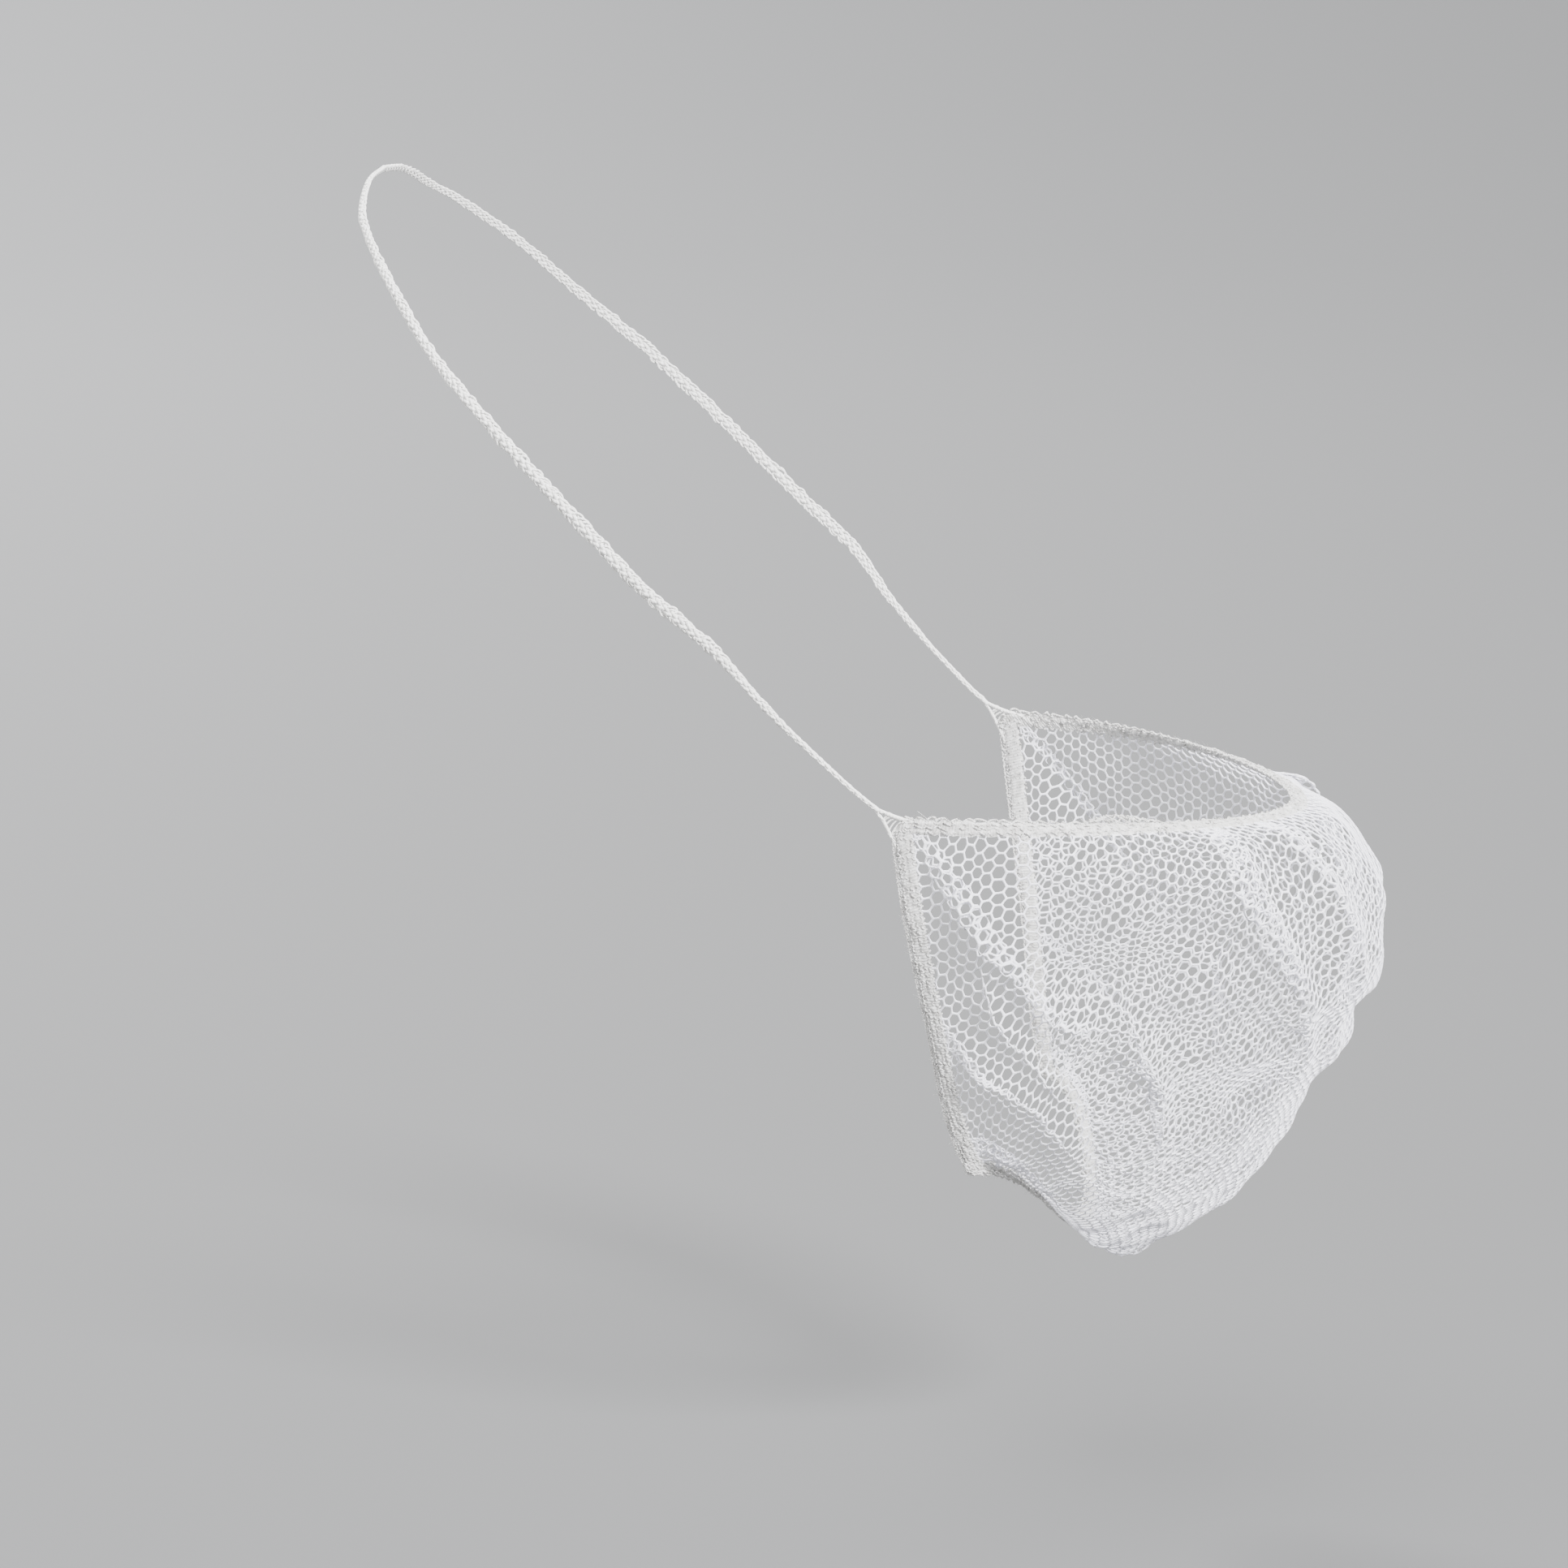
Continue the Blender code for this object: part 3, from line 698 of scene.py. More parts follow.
class NetCloth:
    """The net as a flat cloth, and where each place of it lies once it is folded on to the pouch.

    The flat cloth is broader than the pouch by its spare share, most of it high up, and the folds take up
    what is spare.
    """

    SMOOTHING = 5
    BLOCK = 8000
    UPPER_HEM_WIDTH = 0.0036
    SIDE_HEM_WIDTH = 0.0046
    LOWER_HEM_WIDTH = 0.0038
    HEM_WIDTHS = np.array((UPPER_HEM_WIDTH, LOWER_HEM_WIDTH, SIDE_HEM_WIDTH))
    HEM_FADE = 0.0085
    RUFFLES_ACROSS = 14
    RUFFLES_DOWN = 11
    RUFFLE_HEIGHT = 0.0009
    RUFFLE_REACH = 0.0090
    SPARE_HIGH = 0.17
    SPARE_LOW = 0.11
    SPARE_LEVELS = (-0.040, 0.045)
    GATHERS = 9
    GATHERS_TO = 0.86
    GATHER_START = 0.985
    GATHER_LEAN = 0.03
    GATHER_OVERLAPS = (0.0006, 0.0012)
    GATHER_LENGTHS = (0.07, 0.13)
    GATHER_EASE = 0.8
    WANDER_WAVES = (0.006, 0.018)
    WANDER = 0.00016
    CRINKLE = (0.00028, 0.007, 0.020)

    def __init__(self, form: PouchForm) -> None:
        """Sets out the net's grain, folds and unevenness.

        Args:
            form: The pouch.
        """
        self.form = form
        self.grain = NetGrain(form)
        self.folds = (*FOLDS, *self._hem_gathers())
        self.traces = self._settled_traces()
        self.drift = Unevenness(11, self.WANDER, *self.WANDER_WAVES)
        self.sway = Unevenness(12, self.WANDER, *self.WANDER_WAVES)
        self.crinkle = Unevenness(13, *self.CRINKLE)

    def _hem_gathers(self) -> list[Fold]:
        """Short pleats where the lower hem draws the net in.

        Returns:
            One fold for each pleat.
        """
        draws = np.random.default_rng(5)
        gathers = []
        for across in np.linspace(-self.GATHERS_TO, self.GATHERS_TO, self.GATHERS):
            lean = draws.uniform(-self.GATHER_LEAN, self.GATHER_LEAN)
            overlap = draws.uniform(*self.GATHER_OVERLAPS)
            length = draws.uniform(*self.GATHER_LENGTHS)
            route = (
                (across, self.GATHER_START, overlap),
                (across + lean / 2, self.GATHER_START - length / 2, overlap * self.GATHER_EASE),
                (across + lean, self.GATHER_START - length, 0.0),
            )
            gathers.append(Fold("lower_gather", 0.0025, 0.0006, 2.0, 1 if lean > 0 else -1, route))
        return gathers

    def _settled_traces(self) -> list[Trace]:
        """The folds' routes, each where it has to start for the later folds to carry it to its place.

        Returns:
            One route for each fold.
        """
        traces: list[Trace] = []
        width = 2 * self.SMOOTHING + 1
        for index in reversed(range(len(self.folds))):
            trace = self.folds[index].trace(self.grain)
            line = trace.line
            for later, later_trace in zip(reversed(self.folds[index + 1 :]), reversed(traces)):
                line = line + later.push_back(line, later_trace)
            shift = np.pad(line - trace.line, ((self.SMOOTHING, self.SMOOTHING), (0, 0)), mode="edge")
            smooth = [np.convolve(part, np.ones(width) / width, mode="valid") for part in shift.T]
            traces.insert(0, trace._replace(line=trace.line + np.stack(smooth, axis=1)))
        return traces

    def hem_fade(self, across: Array, down: Array) -> Array:
        """How much of the folds' height is left beside the hems.

        Args:
            across: Fractions across.
            down: Fractions down.

        Returns:
            0 at the hems, rising to 1 a short way into the net.
        """
        inside = self.form.to_edges(across, down) - self.HEM_WIDTHS[:, None]
        return ease(inside.min(axis=0) / self.HEM_FADE)

    def ruffles(self, across: Array, down: Array) -> Array:
        """Small waves where the net is gathered on to the lower and side hems.

        Args:
            across: Fractions across.
            down: Fractions down.

        Returns:
            The height of each place.
        """
        to_throat = np.maximum((1 - down) * self.form.drop(across), 0.0)
        to_side = np.maximum((1 - np.abs(across)) * self.form.half_width(down), 0.0)
        low = np.sin(across * math.pi * self.RUFFLES_ACROSS) * np.exp(-to_throat / self.RUFFLE_REACH)
        side = np.sin(down * math.pi * self.RUFFLES_DOWN) * np.exp(-to_side / self.RUFFLE_REACH)
        return self.RUFFLE_HEIGHT * (low + side)

    def breadth(self) -> float:
        """Half the width of the flat net that covers the pouch."""
        return float(self.grain.sideways[-1]) / (1 - self.SPARE_HIGH)

    def drawn_in(self, flat: Array) -> Array:
        """Moves the flat net's columns together by the cloth that the folds take up.

        Args:
            flat: Flat places.

        Returns:
            The places after it.
        """
        high, low = self.SPARE_LEVELS
        share = ease((flat[:, 1] - high) / (low - high))
        spare = self.SPARE_HIGH + (self.SPARE_LOW - self.SPARE_HIGH) * share
        return flat * np.stack((1 - spare, np.ones_like(spare)), axis=1)

    def folded(self, flat: Array) -> tuple[Array, Array, Array]:
        """Folds flat places on to the pouch, a block at a time.

        Args:
            flat: Flat places.

        Returns:
            The fractions across and down, and how far each place stands out from the smooth pouch.
        """
        starts = range(0, len(flat), self.BLOCK)
        blocks = [self._folded_block(flat[start : start + self.BLOCK]) for start in starts]
        across, down, lift = (np.concatenate(parts) for parts in zip(*blocks))
        return across, down, lift

    def _folded_block(self, flat: Array) -> tuple[Array, Array, Array]:
        """Folds some flat places on to the pouch.

        Args:
            flat: Flat places.

        Returns:
            As folded() does.
        """
        places = self.drawn_in(flat) + np.stack((self.drift.at(flat), self.sway.at(flat)), axis=1)
        lift = np.zeros(len(flat))
        for fold, trace in zip(self.folds, self.traces):
            places, layer = fold.gather(places, trace)
            lift += layer
        for fold, trace in zip(self.folds, self.traces):
            lift += fold.swell(places, trace)
        across, down = self.grain.pouch_place(places)
        lift += self.ruffles(across, down) + self.crinkle.at(flat)
        return across, down, lift * self.hem_fade(across, down)

    def laid(self, flat: Array) -> Array:
        """Points in space of flat places."""
        across, down, lift = self.folded(flat)
        return self.form.point(across, down) + self.form.normal(across, down) * lift[:, None]


@dataclass
class YarnMesh:
    """Tubes and webs of yarn that become one mesh.

    Attributes:
        points: Its points, a block for each yarn.
        faces: Its quads and its triangles, as rows of point numbers.
        marks: The place on the yarn of each face's corners: millimetres along it and turns round it.
        count: How many points it has.
    """

    points: list[Array] = field(default_factory=list)
    faces: dict[int, list[Array]] = field(default_factory=lambda: {4: [], 3: []})
    marks: dict[int, list[Array]] = field(default_factory=lambda: {4: [], 3: []})
    count: int = 0

    def add(self, points: Array, faces: Array, marks: Array) -> None:
        """Adds faces of one kind on points of their own.

        Args:
            points: Points in space.
            faces: Rows of three or four point numbers.
            marks: The yarn place of each corner, as (millimetres along, turns round).
        """
        corners = faces.shape[1]
        self.points.append(points)
        self.faces[corners].append(faces + self.count)
        self.marks[corners].append(marks)
        self.count += len(points)

    def tube(self, path: Array, radius: Array | float, up: Array, sides: int = 5) -> None:
        """Adds a tube with closed ends.

        Args:
            path: Its middle line.
            radius: Its radius, or one for each point.
            up: A vector for each point that the tube's sides are counted from, never along the tube.
            sides: How many sides it has.
        """
        rings = len(path)
        radius = np.broadcast_to(np.asarray(radius, dtype=float), rings)
        tangent = unit(np.gradient(path, axis=0))
        side = unit(np.cross(tangent, up))
        rise = np.cross(side, tangent)
        angle = np.arange(sides) / sides * TURN
        circle = np.cos(angle)[None, :, None] * side[:, None] + np.sin(angle)[None, :, None] * rise[:, None]
        points = (path[:, None] + radius[:, None, None] * circle).reshape(-1, 3)
        ring = np.arange(rings - 1)[:, None] * sides
        here = np.arange(sides)[None]
        after = (here + 1) % sides
        low, high = ring + here, ring + after
        quads = np.stack((low, low + sides, high + sides, high), axis=-1).reshape(-1, 4)
        along = running_length(path) * 1000
        start, end, left, right = np.broadcast_arrays(
            along[:-1, None], along[1:, None], here / sides, (here + 1) / sides
        )
        lengths = np.stack((start, end, end, start), axis=-1)
        turns = np.stack((left, left, right, right), axis=-1)
        self.add(points, quads, np.stack((lengths, turns), axis=-1).reshape(-1, 4, 2))
        first_ring, last_ring = -sides * rings, -sides
        first = np.stack((0 * here[0], here[0] + first_ring, after[0] + first_ring), axis=1)
        last = np.stack((0 * here[0] + 1, after[0] + last_ring, here[0] + last_ring), axis=1)
        ends = np.concatenate((first, last))
        self.add(np.array([path[0], path[-1]]), ends, np.zeros((len(ends), 3, 2)))

    def dress(self, name: str, material: Material, node: str, slot: str) -> Object:
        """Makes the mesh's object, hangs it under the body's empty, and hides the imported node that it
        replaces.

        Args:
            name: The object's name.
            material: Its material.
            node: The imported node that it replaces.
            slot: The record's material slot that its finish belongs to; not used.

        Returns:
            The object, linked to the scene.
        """
        kinds = [kind for kind in (4, 3) if self.faces[kind]]
        faces = [row for kind in kinds for part in self.faces[kind] for row in part.tolist()]
        marks = np.concatenate([part.reshape(-1, 2) for kind in kinds for part in self.marks[kind]])
        mesh = bpy.data.meshes.new(name)
        mesh.from_pydata(np.concatenate(self.points).tolist(), [], faces)
        layer = mesh.uv_layers.new(name=YARN_PLACES)
        layer.data.foreach_set("uv", marks.astype(np.float32).ravel())
        mesh.materials.append(material)
        mesh.shade_smooth()
        made = bpy.data.objects.new(name, mesh)
        bpy.context.scene.collection.objects.link(made)
        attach(made, BODY)
        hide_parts(node)
        LOG.info("%s: %d triangles", name, sum(len(face) - 2 for face in faces))
        return made


class ShaderGroup:
    """A node group with named sockets, and short ways to add nodes to it."""

    def __init__(self, name: str) -> None:
        """Starts an empty group.

        Args:
            name: The group's name.
        """
        self.tree = bpy.data.node_groups.new(name, "ShaderNodeTree")
        self.enter = self.tree.nodes.new("NodeGroupInput")
        self.leave = self.tree.nodes.new("NodeGroupOutput")

    def value_in(self, name: str, value: float) -> NodeSocket:
        """Adds a number input.

        Args:
            name: Its name.
            value: Its number where nothing else is set.

        Returns:
            Its socket inside the group.
        """
        made = self.tree.interface.new_socket(name, in_out="INPUT", socket_type="NodeSocketFloat")
        made.default_value = value
        return self.enter.outputs[name]

    def colour_in(self, name: str) -> NodeSocket:
        """Adds a colour input, and returns its socket inside the group."""
        self.tree.interface.new_socket(name, in_out="INPUT", socket_type="NodeSocketColor")
        return self.enter.outputs[name]

    def feed(self, socket: NodeSocket, value: NodeSocket | float) -> None:
        """Links or sets a node's input.

        Args:
            socket: The input.
            value: A socket that feeds it, or its number.
        """
        if isinstance(value, NodeSocket):
            self.tree.links.new(value, socket)
        else:
            socket.default_value = value

    def out(self, name: str, kind: str, source: NodeSocket) -> None:
        """Adds an output and feeds it.

        Args:
            name: The output's name.
            kind: Its socket type.
            source: What feeds it.
        """
        self.tree.interface.new_socket(name, in_out="OUTPUT", socket_type=kind)
        self.tree.links.new(source, self.leave.inputs[name])

    def math(self, operation: str, *values: NodeSocket | float) -> NodeSocket:
        """Adds a Math node.

        Args:
            operation: What it does.
            values: Its inputs.

        Returns:
            Its output.
        """
        node = self.tree.nodes.new("ShaderNodeMath")
        node.operation = operation
        for socket, value in zip(node.inputs, values):
            self.feed(socket, value)
        return node.outputs[0]

    def noise(self, scale: NodeSocket | float, detail: float) -> NodeSocket:
        """Adds noise in the object's own coordinates.

        Args:
            scale: How fine it is.
            detail: How many finer layers it has.

        Returns:
            Its value, from 0 to 1.
        """
        place = self.tree.nodes.new("ShaderNodeTexCoord")
        node = self.tree.nodes.new("ShaderNodeTexNoise")
        node.inputs["Detail"].default_value = detail
        self.tree.links.new(place.outputs["Object"], node.inputs["Vector"])
        self.feed(node.inputs["Scale"], scale)
        return node.outputs[0]


def twist_group() -> NodeTree:
    """Plies twisted round a yarn.

    Returns:
        A group that puts out their height.
    """
    group = ShaderGroup("yarn_twist")
    pitch = group.value_in("Pitch", 0.8)
    plies = group.value_in("Plies", 2.0)
    place = group.tree.nodes.new("ShaderNodeUVMap")
    place.uv_map = YARN_PLACES
    split = group.tree.nodes.new("ShaderNodeSeparateXYZ")
    group.tree.links.new(place.outputs["UV"], split.inputs[0])
    along = group.math("DIVIDE", split.outputs["X"], pitch)
    phase = group.math("ADD", along, group.math("MULTIPLY", split.outputs["Y"], plies))
    wave = group.math("SINE", group.math("MULTIPLY", phase, TURN))
    group.out("Height", "NodeSocketFloat", group.math("MULTIPLY_ADD", wave, 0.5, 0.5))
    return group.tree


def fibre_group() -> NodeTree:
    """Fine loose fibres on a yarn, in two sizes.

    Returns:
        A group that puts out their height.
    """
    group = ShaderGroup("fibre_fuzz")
    scale = group.value_in("Scale", 4000.0)
    fine = group.noise(scale, 3.0)
    coarse = group.noise(group.math("MULTIPLY", scale, 0.21), 2.0)
    height = group.math("ADD", group.math("MULTIPLY", fine, 0.6), group.math("MULTIPLY", coarse, 0.4))
    group.out("Height", "NodeSocketFloat", height)
    return group.tree


def cloud_group() -> NodeTree:
    """Slow changes of white over the net and the strap, between a main colour and a shade; on the hems the
    fine dark shade mottles are painted shade of small hollows.

    Returns:
        A group that puts out the colour.
    """
    group = ShaderGroup("cloudy_white_and_painted_shade")
    main = group.colour_in("Main")
    shade = group.colour_in("Shade")
    scale = group.value_in("Scale", 60.0)
    share = group.value_in("Share", 0.5)
    cloud = group.noise(scale, 2.0)
    mask = group.math("MULTIPLY", group.math("MULTIPLY_ADD", cloud, 2.2, -0.6), share)
    mix = group.tree.nodes.new("ShaderNodeMix")
    mix.data_type = "RGBA"
    mix.clamp_factor = True
    group.tree.links.new(mask, mix.inputs["Factor"])
    for colour, place in zip((main, shade), MIX_COLOURS):
        group.tree.links.new(colour, mix.inputs[place])
    group.out("Color", "NodeSocketColor", mix.outputs[MIX_RESULT])
    return group.tree


class YarnEffects(NamedTuple):
    """The shader groups that every yarn shares."""

    twist: NodeTree
    fibre: NodeTree
    cloud: NodeTree


@dataclass(frozen=True, kw_only=True)
class YarnFinish:
    """The look of one yarn.

    Attributes:
        name: The material's name.
        main: Its colour.
        shade: Its colour in the cloudy places: a random tone on the net and the strap, and painted shade of
            small hollows on the hems.
        shade_share: How much of the shade shows.
        shade_scale: How fine the cloudy places are.
        roughness: How matt it is.
        sheen: How much soft light its fibres catch.
        pitch: Millimetres between the turns of its twist.
        plies: How many plies it is twisted from.
        twist_depth: How deep the twist shows, in metres.
        fibre_scale: How fine its fibres are.
        fibre_depth: How deep the fibres show, in metres.
    """

    name: str
    main: Colour
    shade: Colour
    shade_share: float = 0.5
    shade_scale: float = 60.0
    roughness: float
    sheen: float
    pitch: float
    plies: float = 2.0
    twist_depth: float
    fibre_scale: float
    fibre_depth: float

    def material(self, effects: YarnEffects) -> Material:
        """Makes the material.

        Args:
            effects: The shared shader groups.

        Returns:
            The material.
        """
        made = bpy.data.materials.new(self.name)
        made.use_nodes = True
        tree = made.node_tree
        shader = tree.nodes["Principled BSDF"]
        main, shade = (*self.main, 1.0), (*self.shade, 1.0)
        cloud = self._place(
            tree, effects.cloud, Main=main, Shade=shade, Share=self.shade_share, Scale=self.shade_scale
        )
        tree.links.new(cloud.outputs["Color"], shader.inputs["Base Color"])
        shader.inputs["Roughness"].default_value = self.roughness
        shader.inputs["Sheen Weight"].default_value = self.sheen
        shader.inputs["Sheen Roughness"].default_value = 0.4
        twist = self._place(tree, effects.twist, Pitch=self.pitch, Plies=self.plies)
        fibre = self._place(tree, effects.fibre, Scale=self.fibre_scale)
        ply_bump = self._bump(tree, twist.outputs["Height"], self.twist_depth)
        fibre_bump = self._bump(tree, fibre.outputs["Height"], self.fibre_depth)
        tree.links.new(ply_bump.outputs["Normal"], fibre_bump.inputs["Normal"])
        tree.links.new(fibre_bump.outputs["Normal"], shader.inputs["Normal"])
        return made

    @staticmethod
    def _place(tree: NodeTree, group: NodeTree, **values: float | tuple[float, ...]) -> Node:
        """Places a shared group in a material.

        Args:
            tree: The material's nodes.
            group: The group.
            values: Its inputs.

        Returns:
            The group's node.
        """
        node = tree.nodes.new("ShaderNodeGroup")
        node.node_tree = group
        for name, value in values.items():
            node.inputs[name].default_value = value
        return node

    @staticmethod
    def _bump(tree: NodeTree, height: NodeSocket, depth: float) -> Node:
        """Adds a bump of a real depth.

        Args:
            tree: The material's nodes.
            height: What gives its height, from 0 to 1.
            depth: The depth in metres.

        Returns:
            The bump's node.
        """
        node = tree.nodes.new("ShaderNodeBump")
        node.inputs["Strength"].default_value = 1.0
        node.inputs["Distance"].default_value = depth
        tree.links.new(height, node.inputs["Height"])
        return node


NET_YARN = YarnFinish(
    name="net_yarn", main=(0.83, 0.83, 0.88), shade=(0.75, 0.74, 0.83), roughness=0.62, sheen=0.20,
    pitch=0.55, twist_depth=0.00003, fibre_scale=5200.0, fibre_depth=0.00002,
)
# The hem yarn's dark shade colour, mixed in fine clouds about a millimetre across, is painted shade: dark
# mottles that stand for small hollows and gaps in the felted band.
HEM_YARN = YarnFinish(
    name="hem_yarn", main=(0.73, 0.725, 0.72), shade=(0.36, 0.35, 0.335), shade_share=0.8,
    shade_scale=800.0, roughness=0.80, sheen=0.15, pitch=0.6, twist_depth=0.00007,
    fibre_scale=4200.0, fibre_depth=0.00006,
)
STRAP_YARN = YarnFinish(
    name="strap_yarn", main=(0.82, 0.815, 0.80), shade=(0.74, 0.73, 0.71), roughness=0.70, sheen=0.20,
    pitch=0.7, twist_depth=0.00005, fibre_scale=4200.0, fibre_depth=0.00004,
)


def yarn_area(made: Object) -> float:
    """Area that an object's yarn would cover if it lay flat: half of its whole surface."""
    return sum(face.area for face in made.data.polygons) / 2


def longest_line(lines: Array, places: Array) -> int:
    """How many cells the longest row or column spans, from each cell's line and its place on it."""
    return max(int(np.ptp(places[lines == line])) + 1 for line in np.unique(lines))


@dataclass
class NetPanel:
    """One breadth of the net, as a web of real cells.

    Attributes:
        name: The piece's name.
        low: Its flat edge nearest the wearer's right side.
        high: Its other flat edge.
        cell_side: One side of a cell.
        strand: Half the yarn's width in the middle of a side.
        knot: Half its width where three sides meet.
        strand_rise: Half its thickness in the middle of a side.
        knot_rise: Half its thickness where three sides meet.
        cells: Column and row of each cell, once the panel is built.
    """

    name: str
    low: float
    high: float
    cell_side: float = 0.00140
    strand: float = 0.00019
    knot: float = 0.00028
    strand_rise: float = 0.00018
    knot_rise: float = 0.00023
    cells: Array | None = None

    HEM_INSETS = np.array((0.0024, 0.0026, 0.0030))
    KNOT_JITTER = 0.00008
    CORNER_STEPS = ((2, 0), (1, 1), (-1, 1), (-2, 0), (-1, -1), (1, -1))
    RING = 2 * len(CORNER_STEPS)
    SHOULDER = 0.6
    SHOULDER_RISE = 0.78
    ROUND_YARN = (0.25, 0.13, 0.0, -0.13, -0.25)

    @property
    def column_pitch(self) -> float:
        """Width from one column of cells to the next."""
        return 1.5 * self.cell_side

    @property
    def row_pitch(self) -> float:
        """Height from one row of cells to the next."""
        return self.cell_side * math.sqrt(3)

    def cells_between_hems(self, cloth: NetCloth) -> Array:
        """Finds the panel's cells.

        Args:
            cloth: The net.

        Returns:
            Column and row, two whole numbers for each cell.
        """
        first, last = self.low / self.column_pitch, self.high / self.column_pitch
        columns = np.arange(math.floor(first), math.ceil(last) + 1)
        top, bottom = cloth.grain.levels[[0, -1]] / self.row_pitch
        rows = np.arange(math.floor(top), math.ceil(bottom))
        column, row = (part.ravel() for part in np.meshgrid(columns, rows))
        flat = np.stack((column * self.column_pitch, (row + (column % 2) / 2) * self.row_pitch), axis=1)
        across, down, _ = cloth.folded(flat)
        inside = (cloth.form.to_edges(across, down) > self.HEM_INSETS[:, None]).all(axis=0)
        keep = inside & (flat[:, 0] >= self.low) & (flat[:, 0] < self.high)
        return np.stack((column, row), axis=1)[keep]

    def build(self, cloth: NetCloth) -> YarnMesh:
        """Makes the web.

        Args:
            cloth: The net that it is a breadth of.

        Returns:
            The web's mesh data.
        """
        self.cells = self.cells_between_hems(cloth)
        count = len(self.cells)
        column, row = self.cells.T
        middles = np.stack((3 * column, 2 * row + column % 2), axis=1)
        corners = middles[:, None] + np.array(self.CORNER_STEPS)
        ring = np.empty((count, self.RING, 2), dtype=int)
        ring[:, 0::2] = 2 * corners
        ring[:, 1::2] = corners + np.roll(corners, -1, axis=1)
        keys, ids = np.unique(ring.reshape(-1, 2), axis=0, return_inverse=True)
        ids = ids.reshape(count, self.RING)
        scale = np.array((self.cell_side, self.row_pitch)) / 4
        jitter = np.random.default_rng(21).normal(size=keys.shape) * self.KNOT_JITTER
        ring_flat = keys[ids] * scale
        knots = ring_flat[:, 0::2] + jitter[ids[:, 0::2]]
        ring_flat[:, 0::2] = knots
        ring_flat[:, 1::2] = (knots + np.roll(knots, -1, axis=1)) / 2
        ridge_flat = np.empty(keys.shape)
        ridge_flat[ids.ravel()] = ring_flat.reshape(-1, 2)
        spokes = ring_flat - knots.mean(axis=1)[:, None]
        reach = np.linalg.norm(spokes, axis=2, keepdims=True)
        insets = np.tile((self.knot, self.strand), self.RING // 2)[None, :, None]
        hole_flat = ring_flat - spokes / reach * insets
        shoulder_flat = ring_flat + (hole_flat - ring_flat) * self.SHOULDER
        ridge = cloth.laid(ridge_flat)
        hole = cloth.laid(hole_flat.reshape(-1, 2)).reshape(count, self.RING, 3)
        shoulder = cloth.laid(shoulder_flat.reshape(-1, 2)).reshape(count, self.RING, 3)
        return self._web(ids, ridge, shoulder, hole)

    def _web(self, ids: Array, ridge: Array, shoulder: Array, hole: Array) -> YarnMesh:
        """Gives the strands their thickness and joins them up.

        Args:
            ids: The ridge point at each step round each cell.
            ridge: Points along the middle of the strands, shared by the cells beside them.
            shoulder: Points part way to the cell's opening.
            hole: Points on the opening's edge.

        Returns:
            The web's mesh data.
        """
        count = len(ids)
        following = np.roll(ids, -1, axis=1)
        facing = np.cross(hole - ridge[ids], ridge[following] - ridge[ids])
        ridge_normal = np.zeros_like(ridge)
        np.add.at(ridge_normal, ids, facing)
        np.add.at(ridge_normal, following, facing)
        ridge_normal = unit(ridge_normal)
        cell_normal = unit(facing + np.roll(facing, 1, axis=1))
        rises = np.tile((self.knot_rise, self.strand_rise), self.RING // 2)
        ridge_rise = np.empty(len(ridge))
        ridge_rise[ids.ravel()] = np.tile(rises, count)
        up = ridge_normal * ridge_rise[:, None]
        shoulder_up = cell_normal * (rises * self.SHOULDER_RISE)[None, :, None]
        parts = [ridge + up, shoulder + shoulder_up, hole, shoulder - shoulder_up, ridge - up]
        parts = [part.reshape(-1, 3) for part in parts]
        ring = np.arange(count * self.RING).reshape(count, self.RING)
        shared, own = (ids, following), (ring, np.roll(ring, -1, axis=1))
        starts = np.cumsum([0] + [len(part) for part in parts[:-1]])
        layers = zip((shared, own, own, own, shared), starts)
        lines = [(here + start, then + start) for (here, then), start in layers]
        step = self.cell_side / 2 * 1000
        along = np.arange(self.RING) * step
        length = np.stack((along, along, along + step, along + step), axis=-1)
        quads = []
        marks = []
        for (outer, outer_next), (inner, inner_next), *turns in zip(
            lines, lines[1:], self.ROUND_YARN, self.ROUND_YARN[1:]
        ):
            quads.append(np.stack((outer, inner, inner_next, outer_next), axis=-1).reshape(-1, 4))
            turn = np.broadcast_to((*turns, *turns[::-1]), length.shape)
            marks.append(np.tile(np.stack((length, turn), axis=-1).reshape(-1, 4, 2), (count, 1, 1)))
        walls = self._walls(ids, following, len(ridge), starts[-1])
        quads.append(walls)
        marks.append(np.zeros((len(walls), 4, 2)))
        web = YarnMesh()
        web.add(np.concatenate(parts), np.concatenate(quads), np.concatenate(marks))
        return web

    @staticmethod
    def _walls(ids: Array, following: Array, ridge_count: int, base: int) -> Array:
        """Closes the strands that have a cell on one side alone.

        Args:
            ids: The ridge point at each step round each cell.
            following: The one after it.
            ridge_count: How many ridge points there are.
            base: Number of the first ridge point on the net's inner face.

        Returns:
            Quads from the outer face's ridge to the inner face's.
        """
        pairs = (np.minimum(ids, following) * ridge_count + np.maximum(ids, following)).ravel()
        _, inverse, uses = np.unique(pairs, return_inverse=True, return_counts=True)
        lone = uses[inverse.ravel()] == 1
        first = ids.ravel()[lone]
        second = following.ravel()[lone]
        return np.stack((first, second, second + base, first + base), axis=1)

    def dress(self, cloth: NetCloth, material: Material) -> Object:
        """Makes the panel's object from the net's yarn."""
        return self.build(cloth).dress(self.name, material, "net_pouch", "net")

    def declare(self, made: Object, hems: list[str]) -> None:
        """Logs the panel's flat width and length, the area that it was cut to, and its yarn's area.

        Args:
            made: The panel's object.
            hems: Names of the pieces that hold it; not used.
        """
        column, row = self.cells.T
        width = longest_line(row, column) * self.column_pitch
        length = (longest_line(column, row) + 0.5) * self.row_pitch
        cut = len(self.cells) * self.column_pitch * self.row_pitch
        area = yarn_area(made)
        LOG.info("%s: flat %.4f by %.4f, cut %.6f, yarn %.6f", self.name, width, length, cut, area)


